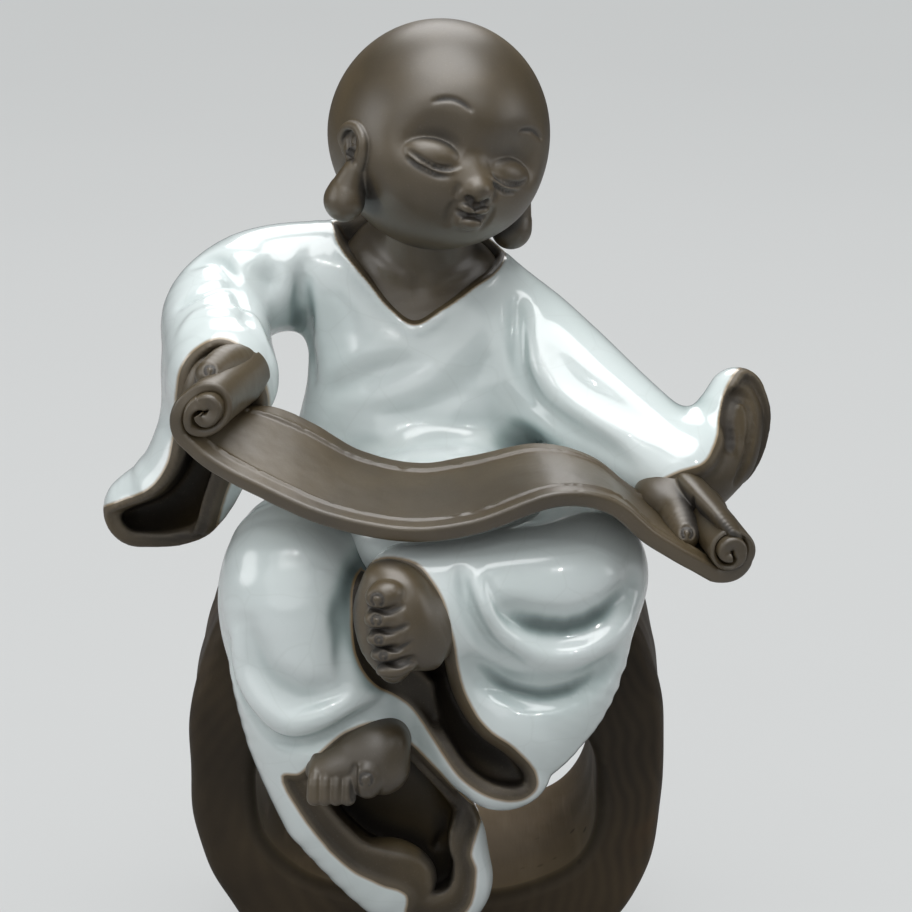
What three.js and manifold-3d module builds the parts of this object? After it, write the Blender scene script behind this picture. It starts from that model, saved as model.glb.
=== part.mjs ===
// A tea pet: a seated child monk in a celadon robe, reading an open scroll, on a ring of wood.
// The figure is hollow stoneware, put together from separately moulded pieces of clay: the glazed
// robe, and bare dark clay for the head, neck, hands, feet and scroll. It sits loose on a sawn
// length of hollow branch. Millimetres, +Z up, the figure faces -Y, and the origin is the middle
// of the flat that the wood stands on.
import * as THREE from "three";
import { mergeVertices } from "three/addons/utils/BufferGeometryUtils.js";
import Module from "manifold-3d";

const wasm = await Module();
wasm.setup();

// Driving dimensions
const seatHeight = 70; // from the foot of the wood to the flat that the figure sits on
const woodDepth = 46; // front sawn face to back sawn face
const woodHalfWidth = 39.6;
const holeHalfWidth = 28.2; // the natural hollow through the branch
const holeBottom = 15.2;
const holeTop = 52.5;
const woodRounding = 2.6; // sanded edge of both sawn faces
const jointGap = 0.3; // between pieces that lie against each other
const farOut = 150; // further from the origin than any piece reaches, for cutting blocks
const legClearance = 1; // from the front of the wood to the back of the hanging legs
const robeWall = 1.8; // thickness of the robe at its open cuffs
const bodyWall = 3.2; // thickness of the hollow trunk
const ventRadius = 1.6; // firing vent under the seat
const headHalfWidth = 18;
const headHalfHeight = 18.9;
const faceReach = 18.4; // from the middle of the skull to the brow
const skullReach = 20.4; // from the middle of the skull to the back of the head
const scrollThickness = 2.7;
const rollHalfHeights = [4.75, 3.6]; // of each rolled end above the sheet: right hand, left hand
const rollOvals = [0.82, 1]; // width of each rolled end to its height
const rollTurns = 1.3;
const borderInset = 2.8; // from the long edges of the scroll to its raised border line
const borderHeight = 0.45;
const toeCount = 5;
const toolSlant = 0.27; // the loop tool that hollows a cuff is held from a little above

const legBack = -woodDepth / 2 - legClearance;
const shin = legBack - 12; // depth at which the middle of the hanging leg lies

// Turns a geometry into a solid, and a solid back into a geometry

function solidOf(geometry) {
  const plain = new THREE.BufferGeometry();
  plain.setAttribute("position", geometry.getAttribute("position").clone());
  if (geometry.index) plain.setIndex(geometry.index.clone());
  const merged = mergeVertices(plain, 1e-4);
  const vertProperties = merged.getAttribute("position").array;
  const triVerts = new Uint32Array(merged.index.array);
  const made = new wasm.Manifold(new wasm.Mesh({ numProp: 3, vertProperties, triVerts }));
  if (made.volume() > 0) return made;
  for (let i = 0; i < triVerts.length; i += 3) {
    [triVerts[i + 1], triVerts[i + 2]] = [triVerts[i + 2], triVerts[i + 1]];
  }
  return new wasm.Manifold(new wasm.Mesh({ numProp: 3, vertProperties, triVerts }));
}

function geometryOf(solid) {
  const mesh = solid.getMesh();
  const geometry = new THREE.BufferGeometry();
  geometry.setAttribute("position", new THREE.BufferAttribute(new Float32Array(mesh.vertProperties), 3));
  geometry.setIndex(new THREE.BufferAttribute(new Uint32Array(mesh.triVerts), 1));
  const faceted = geometry.toNonIndexed();
  faceted.computeVertexNormals();
  return faceted;
}

// A cut can shave off crumbs: the piece is the largest body that is left.
function largestBody(solid) {
  const bodies = solid.decompose();
  return bodies.reduce((best, body) => (body.volume() > best.volume() ? body : best));
}

function unite(solids) {
  return solids.reduce((all, one) => all.add(one));
}

function cutBack(solid, rooms) {
  return rooms.reduce((left, room) => left.subtract(room), solid);
}

// Shapes that clay is built up from. Each takes grow, which thickens it all round, so that a
// neighbour can be cut back to leave the joint gap.

// The cross-sections of a loft, each a ring of as many points, joined and capped
function loftOf(rings) {
  const sides = rings[0].length;
  const positions = rings.flat().flatMap(({ x, y, z }) => [x, y, z]);
  const index = [];
  for (let ring = 0; ring + 1 < rings.length; ring++) {
    for (let i = 0; i < sides; i++) {
      const [a, b] = [ring * sides + i, ring * sides + ((i + 1) % sides)];
      index.push(a, b, b + sides, a, b + sides, a + sides);
    }
  }
  const last = (rings.length - 1) * sides;
  for (let i = 1; i + 1 < sides; i++) {
    index.push(0, i + 1, i, last, last + i, last + i + 1);
  }
  const geometry = new THREE.BufferGeometry();
  geometry.setAttribute("position", new THREE.Float32BufferAttribute(positions, 3));
  geometry.setIndex(index);
  return geometry;
}

// An ellipse swept along a smooth line, with domed ends. Each station is [x, y, z, wide, deep],
// and across is the direction in which the wide half-axis lies.
function sweep(stations, across, { rings = 8, sides = 16, grow = 0 } = {}) {
  const line = new THREE.CatmullRomCurve3(stations.map(([x, y, z]) => new THREE.Vector3(x, y, z)));
  const lastStation = stations.length - 1;
  const hint = new THREE.Vector3(...across);
  const sections = [];
  const addSection = (t, slide, share) => {
    const tangent = line.getTangent(t).normalize();
    const from = Math.min(Math.floor(t * lastStation), lastStation - 1);
    const ease = t * lastStation - from;
    const wide = THREE.MathUtils.lerp(stations[from][3], stations[from + 1][3], ease) + grow;
    const deep = THREE.MathUtils.lerp(stations[from][4], stations[from + 1][4], ease) + grow;
    const side = hint.clone().addScaledVector(tangent, -hint.dot(tangent)).normalize();
    const up = tangent.clone().cross(side);
    const centre = line.getPoint(t).addScaledVector(tangent, slide * Math.min(wide, deep));
    const ring = [];
    for (let i = 0; i < sides; i++) {
      const angle = (2 * Math.PI * i) / sides;
      const point = centre.clone().addScaledVector(side, share * wide * Math.cos(angle));
      ring.push(point.addScaledVector(up, share * deep * Math.sin(angle)));
    }
    sections.push(ring);
  };
  const domeSteps = sides > 12 ? [0.96, 0.8, 0.45] : [0.9, 0.5];
  for (const s of domeSteps) addSection(0, -s, Math.sqrt(1 - s * s));
  for (let i = 0; i <= rings; i++) addSection(i / rings, 0, 1);
  for (const s of [...domeSteps].reverse()) addSection(1, s, Math.sqrt(1 - s * s));
  return solidOf(loftOf(sections));
}

function capsule(from, to, radius, grow = 0, sides = 8) {
  const ends = [from, to].map((end) => [...end, radius, radius]);
  return sweep(ends, [0.3, 0.2, 1], { rings: 1, sides, grow });
}

// An ellipsoid, given by its centre and its three half-axes
function ball([x, y, z], [a, b, c], { grow = 0, turn = [0, 0, 0], segments = 14 } = {}) {
  const geometry = new THREE.SphereGeometry(1, segments, Math.round(segments * 0.6));
  geometry.scale(a + grow, b + grow, c + grow);
  geometry.applyMatrix4(new THREE.Matrix4().makeRotationFromEuler(new THREE.Euler(...turn)));
  geometry.translate(x, y, z);
  return solidOf(geometry);
}

function box(low, high) {
  const size = high.map((value, i) => value - low[i]);
  const geometry = new THREE.BoxGeometry(...size);
  geometry.translate(...low.map((value, i) => value + size[i] / 2));
  return solidOf(geometry);
}

// A smooth closed outline in the front view, cut from front to back. It is true to size at the
// depth named by at, and slant lowers it behind that. inset draws the outline in.
function carve(outline, front, back, { at = front, slant = 0, inset = 0 } = {}) {
  const curve = new THREE.CatmullRomCurve3(outline.map(([x, z]) => new THREE.Vector3(x, z, 0)), true);
  const rim = curve.getPoints(2 * outline.length).slice(0, -1);
  const inward = Math.sign(THREE.ShapeUtils.area(rim)) * inset;
  const drawnIn = rim.map(({ x, y }, i) => {
    const along = rim[(i + 1) % rim.length].clone().sub(rim.at(i - 1)).normalize();
    return new THREE.Vector2(x - inward * along.y, y + inward * along.x);
  });
  const shape = new THREE.Shape(drawnIn);
  const geometry = new THREE.ExtrudeGeometry(shape, { depth: back - front, bevelEnabled: false });
  const position = geometry.getAttribute("position");
  for (let i = 0; i < position.count; i++) {
    const y = front + position.getZ(i);
    position.setXYZ(i, position.getX(i), y, position.getY(i) - slant * (y - at));
  }
  return solidOf(geometry);
}

// Wood

// A point on a squared-off circle: power 2 is an ellipse, and more is squarer.
function squircle(angle, halfWidth, halfHeight, power) {
  const [c, s] = [Math.cos(angle), Math.sin(angle)];
  return new THREE.Vector2(
    halfWidth * Math.sign(c) * Math.abs(c) ** (2 / power),
    halfHeight * Math.sign(s) * Math.abs(s) ** (2 / power),
  );
}

// The branch was thicker above than below, so the upper half is squarer and taller. Its bark would
// rise a little over the sawn seat and bulge a little under the sawn foot.
function woodRing() {
  const middle = 0.51 * seatHeight;
  const crown = 0.1 * seatHeight;
  const heel = 0.034 * seatHeight;
  const inset = woodRounding;
  const outline = [];
  const outlineSteps = 54;
  for (let i = 0; i < outlineSteps; i++) {
    const angle = (2 * Math.PI * i) / outlineSteps;
    const upper = Math.sin(angle) > 0;
    const height = upper ? seatHeight + crown - middle : middle + heel;
    const point = squircle(angle, woodHalfWidth - inset, height - inset, upper ? 2.7 : 2.3);
    const knot = 1 + 0.012 * Math.sin(3 * angle + 0.6) - 0.008 * Math.cos(5 * angle);
    outline.push(new THREE.Vector2(point.x * knot, middle + point.y * knot));
  }
  const shape = new THREE.Shape(outline);
  const hole = [];
  const holeSteps = 36;
  for (let i = 0; i < holeSteps; i++) {
    const angle = (-2 * Math.PI * i) / holeSteps;
    const point = squircle(angle, holeHalfWidth + inset, (holeTop - holeBottom) / 2 + inset, 2.7);
    const bulge = 1 + 0.02 * Math.cos(2 * angle + 1.1);
    hole.push(new THREE.Vector2(point.x * bulge, (holeTop + holeBottom) / 2 + point.y));
  }
  shape.holes.push(new THREE.Path(hole));
  const geometry = new THREE.ExtrudeGeometry(shape, {
    depth: woodDepth - 2 * woodRounding,
    bevelThickness: woodRounding,
    bevelSize: woodRounding,
    bevelSegments: 2,
  });
  geometry.translate(0, 0, woodRounding - woodDepth / 2);
  geometry.rotateX(Math.PI / 2);
  const reach = 2 * seatHeight;
  const aboveSeat = box([-reach, -woodDepth, seatHeight], [reach, woodDepth, reach]);
  const belowFoot = box([-reach, -woodDepth, -reach], [reach, woodDepth, 0]);
  return cutBack(solidOf(geometry), [aboveSeat, belowFoot]);
}

// Robe. Everything from here on is measured from the middle of the seat, so z is 0 at the flat top
// of the wood.

const sideways = [1, 0, 0];
const upright = [0, 0, 1];

const trunkStations = [
  [-2, 3, 1, 15, 11],
  [-2, 2, 5, 23, 17],
  [-1, 0, 15, 22, 16.5],
  [0, -1, 26, 20.5, 15],
  [-1, 0, 36, 19, 13],
  [-2.5, 1.5, 45, 16, 11],
  [-3, 2.5, 50.5, 11, 8.5],
];

// The robe falls over the lap, and the scroll rests there.
const lapMiddle = [3, -24, 11];
const lapSize = [20, 20, 12];

function trunk(grow = 0) {
  const upper = sweep(trunkStations, sideways, { rings: 10, sides: 20, grow });
  return upper.add(ball(lapMiddle, lapSize, { grow, segments: 16 }));
}

const rightArmStations = [
  [-10, 3, 45.5, 10, 10],
  [-20, 3, 46.5, 9, 9.2],
  [-29, 0, 45.5, 9, 9.2],
  [-34.5, -6, 42, 9, 9],
  [-34.2, -15, 38, 9.4, 9],
  [-33, -22.5, 35, 9.8, 9.2],
];

const rightDrapeStations = [
  [-35, -15, 31, 8, 9],
  [-36.5, -17, 22, 8.5, 9],
  [-41, -17, 14, 8.5, 9],
  [-47.3, -16, 11, 6.2, 6.6],
];

const rightCuffOutline = [
  [-40, 33],
  [-38.9, 38],
  [-36, 41.2],
  [-32.7, 42.4],
  [-29.2, 40.8],
  [-26.6, 37],
  [-25.4, 32],
  [-26.5, 27],
  [-31, 21],
  [-33.5, 14.5],
  [-36, 7.5],
  [-41.4, 3],
  [-47, 2],
  [-55, 4],
  [-57, 12],
  [-50, 15.4],
  [-45.3, 17.3],
  [-42.3, 21],
  [-41, 26],
];

function rightSleeveOuter(grow = 0) {
  const arm = sweep(rightArmStations, upright, { rings: 8, sides: 16, grow });
  const drape = sweep(rightDrapeStations, sideways, { rings: 6, sides: 16, grow });
  return arm.add(drape);
}

const leftArmStations = [
  [5, 2.5, 42, 10, 9.5],
  [14, -1, 37.5, 10, 10],
  [22, -7, 31.5, 10, 10.2],
  [30, -14, 25.5, 9.6, 10],
  [37, -19, 21, 9, 9.6],
  [42, -23, 18.5, 8.4, 9],
];

const leftFlareStations = [
  [43, -20, 18, 8, 8.5],
  [48, -18, 21, 7.8, 8],
  [50.5, -16, 26.5, 6.4, 6.8],
  [51, -15, 30, 4.8, 5.4],
];

const leftCuffOutline = [
  [51.6, 36],
  [49.2, 32.8],
  [48, 28.5],
  [47.2, 24],
  [45, 20],
  [40.4, 18.2],
  [36, 15.6],
  [34, 12],
  [37, 6],
  [46, 4],
  [56, 8],
  [60, 20],
  [60, 30],
  [56, 36],
];

function leftSleeveOuter(grow = 0) {
  const arm = sweep(leftArmStations, upright, { rings: 7, sides: 16, grow });
  const flare = sweep(leftFlareStations, [1, 0, -0.4], { rings: 6, sides: 14, grow });
  return arm.add(flare);
}

const rightLegStations = [
  [-9, -6, 10, 11, 9],
  [-15, -20, 9, 12, 9],
  [-20.5, shin + 2, 5, 12.4, 11],
  [-19.5, shin, -6, 12.6, 11.6],
  [-15.5, shin, -18, 14.4, 11.6],
  [-9.5, shin, -30, 15.4, 11.6],
  [-2, shin, -42, 12.5, 11],
  [1.5, shin, -46, 9.5, 9.5],
];

const rightHemOutline = [
  [-22.9, -25.4],
  [-20.1, -25],
  [-17, -21.6],
  [-12.7, -17.9],
  [-7.2, -16.4],
  [-2.4, -19.9],
  [2.3, -24.8],
  [6.3, -29.6],
  [9.2, -33],
  [9.4, -42],
  [6.6, -48.6],
  [1, -51.5],
  [-4.5, -49],
  [-12.4, -42],
  [-18.8, -34],
];

function rightLegOuter(grow = 0) {
  return sweep(rightLegStations, sideways, { rings: 11, sides: 18, grow });
}

const leftThighStations = [
  [10, -6, 10, 11, 9],
  [19, -20, 10, 12, 9.5],
  [24.5, shin + 4, 5, 11.4, 11.6],
];

const leftShinStations = [
  [24, shin + 2, 3.5, 12, 11],
  [15, shin - 2, 3, 11.6, 10],
  [5, shin - 7, 2.4, 11.2, 9],
  [-2.5, shin - 8, 2.2, 11, 8.6],
];

const leftHangStations = [
  [13, shin - 4, 3, 16, 9],
  [15.5, shin - 4, -7, 16.6, 9.4],
  [14.5, shin - 6, -14, 13.2, 8.6],
  [13, shin - 8, -20, 9.6, 7],
  [13.4, shin - 9.5, -24, 6.5, 5],
];

const leftHemOutline = [
  [-11.6, 3],
  [-10.8, 9.5],
  [-7, 12.3],
  [-1.5, 11.6],
  [2.4, 6.4],
  [4.3, -0.5],
  [6, -9.1],
  [9.5, -15.3],
  [14.3, -19],
  [17.5, -22.7],
  [18, -26.1],
  [15.8, -28.2],
  [10.3, -27.6],
  [5.5, -23.6],
  [0.8, -16.5],
  [-3, -11.5],
  [-8, -8.5],
  [-10.8, -4],
];

function leftLegOuter(grow = 0) {
  return unite([
    sweep(leftThighStations, sideways, { rings: 5, sides: 18, grow }),
    sweep(leftShinStations, upright, { rings: 5, sides: 16, grow }),
    sweep(leftHangStations, sideways, { rings: 7, sides: 16, grow }),
  ]);
}

// A sleeve or trouser leg with its open cuff: within the outline all clay goes but the wall behind,
// which is left as thick as the robe. With grow it is the room that the piece needs.
function withCuff(outer, outline, { front, at, middle }, grow = 0) {
  const mouth = carve(outline, front, middle + 30, { at, slant: toolSlant, inset: grow });
  const hollow = outer(-robeWall - grow).add(box([-farOut, front, -farOut], [farOut, middle - grow, farOut]));
  return outer(grow).subtract(mouth.intersect(hollow));
}

const rightLegCut = { front: shin - 40, at: shin - 9, middle: shin - 3 };
const leftLegCut = { front: shin - 40, at: shin - 14, middle: shin - 7 };
const rightSleeveCut = { front: -60, at: -27, middle: -19 };
const leftSleeveCut = { front: -60, at: -20, middle: -16 };

const rightLeg = (grow) => withCuff(rightLegOuter, rightHemOutline, rightLegCut, grow);
const leftLeg = (grow) => withCuff(leftLegOuter, leftHemOutline, leftLegCut, grow);
const rightSleeve = (grow) => withCuff(rightSleeveOuter, rightCuffOutline, rightSleeveCut, grow);
const leftSleeve = (grow) => withCuff(leftSleeveOuter, leftCuffOutline, leftSleeveCut, grow);

// Scroll. The near and far edges of the sheet on its mid-surface; each edge ends under the middle
// of a rolled end.
const nearEdge = [
  [-38.8, -41, 29.7],
  [-34.5, -41.9, 25.8],
  [-25.9, -45.1, 21.9],
  [-15, -49, 18.3],
  [-2, -51, 16.5],
  [7.7, -50.7, 17.6],
  [21, -49.4, 21.8],
  [29.3, -47.5, 20.2],
  [35.8, -45.6, 14.4],
  [46, -43.3, 7.7],
];
const farEdge = [
  [-28.5, -27, 30.5],
  [-24.5, -27.5, 30.6],
  [-18.5, -28.3, 28.2],
  [-10.6, -29.2, 23.7],
  [-1.2, -29.9, 21.7],
  [7.2, -30, 22.9],
  [18, -30, 24.9],
  [25.5, -29.9, 23.1],
  [31.5, -29.2, 18.4],
  [40.2, -28, 11.8],
];
const sheetSteps = 20;
const rollSteps = 17;
const innerThickness = 0.62 * scrollThickness; // the clay thins towards the inner end of the roll

// How the sheet lies after so many turns into a roll. Its outside comes in from under the sheet to
// the roll's own height in half a turn, and each later turn lies inside the one before.
function wrap(turns, end) {
  const thickness = THREE.MathUtils.lerp(scrollThickness, innerThickness, Math.min(turns, 1));
  if (turns >= 1) {
    const around = wrap(turns - 1, end);
    return { outside: around.outside - around.thickness - jointGap, thickness };
  }
  const underSheet = Math.max(1 - 2 * turns, 0) ** 1.6;
  const inward = Math.max(2 * turns - 1, 0);
  return { outside: rollHalfHeights[end] + scrollThickness * underSheet - jointGap * inward, thickness };
}

// The middle of a roll, with the directions in which it leaves the sheet and rises from it
function rollFrame(edge, end) {
  const open = new THREE.CatmullRomCurve3(edge.map((point) => new THREE.Vector3(...point)));
  const along = open.getTangent(end).multiplyScalar(end === 0 ? -1 : 1).setY(0).normalize();
  const rise = new THREE.Vector3(along.z, 0, -along.x);
  if (rise.z < 0) rise.negate();
  const middle = open.getPoint(end).addScaledVector(rise, rollHalfHeights[end] + scrollThickness / 2);
  const at = (turns, distance) => {
    const angle = 2 * Math.PI * turns;
    const point = middle.clone().addScaledVector(rise, -distance * Math.cos(angle));
    return point.addScaledVector(along, rollOvals[end] * distance * Math.sin(angle));
  };
  return { middle, at };
}

// One edge from the inside of one roll to the inside of the other
function edgeLine(edge, rolled) {
  const open = new THREE.CatmullRomCurve3(edge.map((point) => new THREE.Vector3(...point)));
  const rollLine = (end) => {
    const { at } = rollFrame(edge, end);
    const line = [];
    for (let i = 1; i <= rollSteps; i++) {
      const turns = (rollTurns * i) / rollSteps;
      const { outside, thickness } = wrap(turns, end);
      line.push({ point: at(turns, outside - thickness / 2), thickness, border: 0 });
    }
    return line;
  };
  const sheet = [];
  for (let i = 0; i <= sheetSteps; i++) {
    const border = Math.min(i, sheetSteps - i) > 1 ? borderHeight : 0;
    sheet.push({ point: open.getPoint(i / sheetSteps), thickness: scrollThickness, border });
  }
  return rolled ? [...rollLine(0).reverse(), ...sheet, ...rollLine(1)] : sheet;
}

function sheet(rolled, grow = 0) {
  const [near, far] = [edgeLine(nearEdge, rolled), edgeLine(farEdge, rolled)];
  const rings = near.map(({ point, thickness, border }, i) => {
    const [before, after] = [Math.max(i - 1, 0), Math.min(i + 1, near.length - 1)];
    const width = far[i].point.clone().sub(point);
    const span = width.length();
    width.normalize();
    const normal = near[after].point.clone().sub(near[before].point).cross(width).normalize();
    const half = thickness / 2 + grow;
    const top = [borderInset - 0.5, borderInset, borderInset + 0.5];
    const profile = [
      [-grow, -half],
      [-grow, half],
      ...top.map((inset, k) => [inset, half + (k === 1 ? border : 0)]),
      ...top.map((inset, k) => [span - inset, half + (k === 1 ? border : 0)]).reverse(),
      [span + grow, half],
      [span + grow, -half],
    ];
    const place = ([away, height]) => point.clone().addScaledVector(width, away).addScaledVector(normal, height);
    return profile.map(place);
  });
  return solidOf(loftOf(rings));
}

// The room that the scroll takes up: the open sheet, and a full bar for each roll. The rolls lie
// askew, and their ends face straight to the front and back.
function scrollRoom(grow) {
  const bars = [0, 1].map((end) => {
    const frames = [nearEdge, farEdge].map((edge) => rollFrame(edge, end));
    const axis = frames[1].middle.clone().sub(frames[0].middle).normalize();
    const beyond = grow + scrollThickness / 2;
    const rings = frames.map(({ at }, side) => {
      const ring = [];
      for (let i = 0; i < 2 * rollSteps; i++) {
        const turns = i / (2 * rollSteps);
        const outside = wrap(Math.max(turns - 1 / rollSteps, 0), end).outside; // clears the sheet's corners
        const reach = (outside + grow) / Math.cos(Math.PI / rollSteps);
        ring.push(at(turns, reach).addScaledVector(axis, side === 0 ? -beyond : beyond));
      }
      return ring;
    });
    return solidOf(loftOf(rings));
  });
  return unite([sheet(false, grow), ...bars]);
}

// Head, in its own frame: the origin is the middle of the skull and the face looks along -Y.

// Each swelling is [degrees to the side, degrees up, how far it spreads in degrees, how high it
// stands]: cheeks, chin, muzzle and eye sockets.
const swellings = [
  [36, -32, 24, 1.3],
  [-36, -32, 24, 1.3],
  [0, -48, 20, 1.4],
  [0, -28, 17, 0.9],
  [23, -9, 13, -0.9],
  [-23, -9, 13, -0.9],
];

function faceDirection(sideAngle, upAngle) {
  const [side, up] = [sideAngle, upAngle].map(THREE.MathUtils.degToRad);
  return new THREE.Vector3(Math.cos(up) * Math.sin(side), -Math.cos(up) * Math.cos(side), Math.sin(up));
}

function skullPoint(direction, lift = 0) {
  const jaw = direction.z < 0 ? 1 - 0.1 * direction.z ** 2 : 1;
  const reach = direction.y < 0 ? faceReach : skullReach;
  let height = lift;
  for (const [side, up, spread, rise] of swellings) {
    const away = THREE.MathUtils.radToDeg(direction.angleTo(faceDirection(side, up)));
    height += rise * Math.exp(-((away / spread) ** 2));
  }
  const half = new THREE.Vector3(headHalfWidth * jaw, reach, headHalfHeight);
  return direction.clone().multiply(half).addScaledVector(direction, height);
}

const onFace = (side, up, lift = 0) => skullPoint(faceDirection(side, up), lift).toArray();

function skull(grow = 0) {
  const geometry = new THREE.SphereGeometry(1, 24, 16);
  const position = geometry.getAttribute("position");
  for (let i = 0; i < position.count; i++) {
    const point = skullPoint(new THREE.Vector3().fromBufferAttribute(position, i).normalize(), grow);
    position.setXYZ(i, ...point);
  }
  return solidOf(geometry);
}

// Long lobes are a mark of wisdom on such figures. The left ear was pressed on further back.
function ear(side, grow = 0) {
  const back = side > 0 ? 4.4 : 0;
  const small = { grow, segments: 10 };
  const out = side * 0.91 * headHalfWidth;
  const turn = [0.15, 0, side * 0.3];
  const shell = ball([out, back - 4.2, -3.6], [2, 3.2, 4.2], { ...small, turn });
  const lobe = ball([0.98 * out, back - 3.2, -12.4], [3.2, 3.3, 4.3], small);
  const hollow = ball([out + side * 1.9, back - 4.6, -3.2], [1.2, 1.5, 2.6], { segments: 10 });
  return shell.add(lobe).subtract(hollow);
}

// A groove cut with the tip of a tool. Each point is [degrees to the side, degrees up, how high the
// face stands there over the skull].
function incised(points, radius) {
  const line = points.map(([side, up, rise]) => [...onFace(side, up, rise + 0.45 * radius), radius, radius]);
  return sweep(line, upright, { rings: 8, sides: 6 });
}

const lashes = [
  [34, -8, 0.4],
  [27, -13, 0.8],
  [19, -15.5, 0.25],
  [12, -14, 0],
];
const brow = [
  [31, 14.5, 0],
  [23, 17, 0],
  [14, 14.5, 0],
];

function head(grow = 0) {
  const small = { grow, segments: 10 };
  const features = [
    ball(onFace(0, -19, 0.3), [2.1, 1.7, 1.6], small),
    ball(onFace(0, -12, -0.1), [1.3, 1.2, 2.4], small),
    ball(onFace(0, -29.5, 0.2), [2.3, 1.3, 0.8], small),
    ball(onFace(0, -33.5, 0), [1.9, 1.3, 0.9], small),
    ball(onFace(23, -8.5, -0.7), [4.3, 1.9, 2.7], { ...small, turn: [0, 0, 0.35] }),
    ball(onFace(-23, -8.5, -0.7), [4.3, 1.9, 2.7], { ...small, turn: [0, 0, -0.35] }),
  ];
  const whole = unite([skull(grow), ear(1, grow), ear(-1, grow), ...features]);
  if (grow > 0) return whole;
  const lines = [-1, 1].flatMap((side) => [
    incised(lashes.map(([out, ...rest]) => [side * out, ...rest]), 0.5),
    incised(brow.map(([out, ...rest]) => [side * out, ...rest]), 0.45),
  ]);
  return cutBack(whole, lines);
}

// The head is turned to the monk's left and tipped to that side.
const headPlace = new THREE.Vector3(2.2, -6, 72);
const headTurn = new THREE.Euler(...[-4, 13, 24].map(THREE.MathUtils.degToRad), "ZYX");

function placed(solid) {
  const turn = new THREE.Quaternion().setFromEuler(headTurn);
  return solid.transform(new THREE.Matrix4().compose(headPlace, turn, new THREE.Vector3(1, 1, 1)).toArray());
}

// Neck and chest: the bare clay seen in the robe's open collar. It lies a little under the glaze.
const collarOutline = [
  [-15.4, 60],
  [-14.6, 54.4],
  [-9.5, 48.5],
  [-5.5, 44],
  [-2, 41.8],
  [2, 43.8],
  [7.5, 47.2],
  [12.4, 50.4],
  [14, 60],
];
const collarDepth = 1.3;
const neckStations = [
  [-2, 0, 43, 8, 7.5],
  [-0.5, -2, 52, 8, 7.6],
  [1, -4, 60, 7.4, 7.4],
];

function neckAndChest(grow = 0) {
  const chest = sweep(trunkStations, sideways, { rings: 10, sides: 20, grow: grow - collarDepth });
  const opening = carve(collarOutline, -40, 3 + grow, { inset: -grow });
  return chest.intersect(opening).add(sweep(neckStations, sideways, { rings: 4, sides: 20, grow }));
}

const headRoom = placed(head(jointGap));

// The trunk is hollow, with a vent, and is cut flat where it sits.
function robeBody() {
  const hollow = sweep(trunkStations, sideways, { rings: 8, sides: 12, grow: -bodyWall });
  const vent = new THREE.CylinderGeometry(ventRadius, ventRadius, 4 * bodyWall, 12);
  vent.rotateX(Math.PI / 2);
  vent.translate(-2, 3, bodyWall);
  const collar = carve(collarOutline, -40, 3);
  const underGlaze = sweep(trunkStations, sideways, { rings: 10, sides: 20, grow: -collarDepth });
  const openCollar = collar.subtract(underGlaze);
  return cutBack(trunk(), [openCollar, neckAndChest(jointGap), hollow, solidOf(vent), headRoom]);
}

// Hands and feet

const rightPalm = [-33.2, -25, 37.4];
const rightPalmHalf = [6.6, 6.4, 6];
const rightWrist = [[-33.8, -16, 37.5], [-33.4, -24, 36.6]];
const rightWristRadius = 5;
const rightThumb = [[-29.6, -26, 42.4], [-34.2, -35.4, 40.6]];
const rightThumbRadius = 2.3;
const leftPalm = [40.6, -30, 16];
const leftPalmHalf = [6.4, 6.6, 4.4];
const leftWrist = [[38, -20, 20], [40, -28, 17]];
const leftWristRadius = 4.6;
const leftThumb = [[39.6, -33, 16.4], [42, -39.5, 13]];
const leftThumbRadius = 2.1;
const leftFinger = [[45.4, -30.5, 18.4], [50.6, -38, 14.2]];
const leftFingerRadius = 2.4;

function rightHand() {
  return unite([
    ball(rightPalm, rightPalmHalf),
    capsule(...rightWrist, rightWristRadius, 0, 12),
    capsule(...rightThumb, rightThumbRadius),
  ]);
}

function leftHand() {
  return unite([
    ball(leftPalm, leftPalmHalf, { turn: [0, 0.4, 0] }),
    capsule(...leftWrist, leftWristRadius, 0, 12),
    capsule(...leftThumb, leftThumbRadius),
    capsule(...leftFinger, leftFingerRadius),
  ]);
}

// The big toe, then a row of smaller toes from second to last. Each reaches from its root by reach.
function foot({ ankle, instep, bigToe, second, last, reach, bigRadius, smallRadius }) {
  const row = [new THREE.Vector3(...second), new THREE.Vector3(...last)];
  const forward = new THREE.Vector3(...reach);
  const toe = (root, share, radius) => {
    const tip = root.clone().addScaledVector(forward, share);
    return capsule(root.toArray(), tip.toArray(), radius, 0, 8);
  };
  const toes = [toe(new THREE.Vector3(...bigToe), 0.9, bigRadius)];
  for (let i = 0; i < toeCount - 1; i++) {
    const share = i / (toeCount - 2);
    toes.push(toe(row[0].clone().lerp(row[1], share), 1.1 - 0.35 * share, smallRadius * (1 - 0.18 * share)));
  }
  return unite([sweep([ankle, instep], [1, 0, 0.4], { rings: 3, sides: 14 }), ...toes]);
}

const rightFoot = foot({
  ankle: [-6, shin - 3, -20.6, 5.6, 6],
  instep: [-9, shin - 10.4, -22.2, 6.6, 5],
  bigToe: [-9, shin - 13, -23.6],
  second: [-12.9, shin - 13, -25.4],
  last: [-18, shin - 11.4, -25.4],
  reach: [-0.3, -1.4, -3.8],
  bigRadius: 2.8,
  smallRadius: 1.35,
});

const leftFoot = foot({
  ankle: [2, shin - 9, 2.5, 7, 5],
  instep: [-1.4, shin - 14.5, 2.6, 4.8, 7.8],
  bigToe: [-4, shin - 18.4, 7.6],
  second: [-4, shin - 18.4, 3.8],
  last: [-2, shin - 17.6, -4.6],
  reach: [-3.4, -0.6, 0.3],
  bigRadius: 2.2,
  smallRadius: 1.7,
});

// The figure, each piece cut back from the ones that it was joined to

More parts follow.
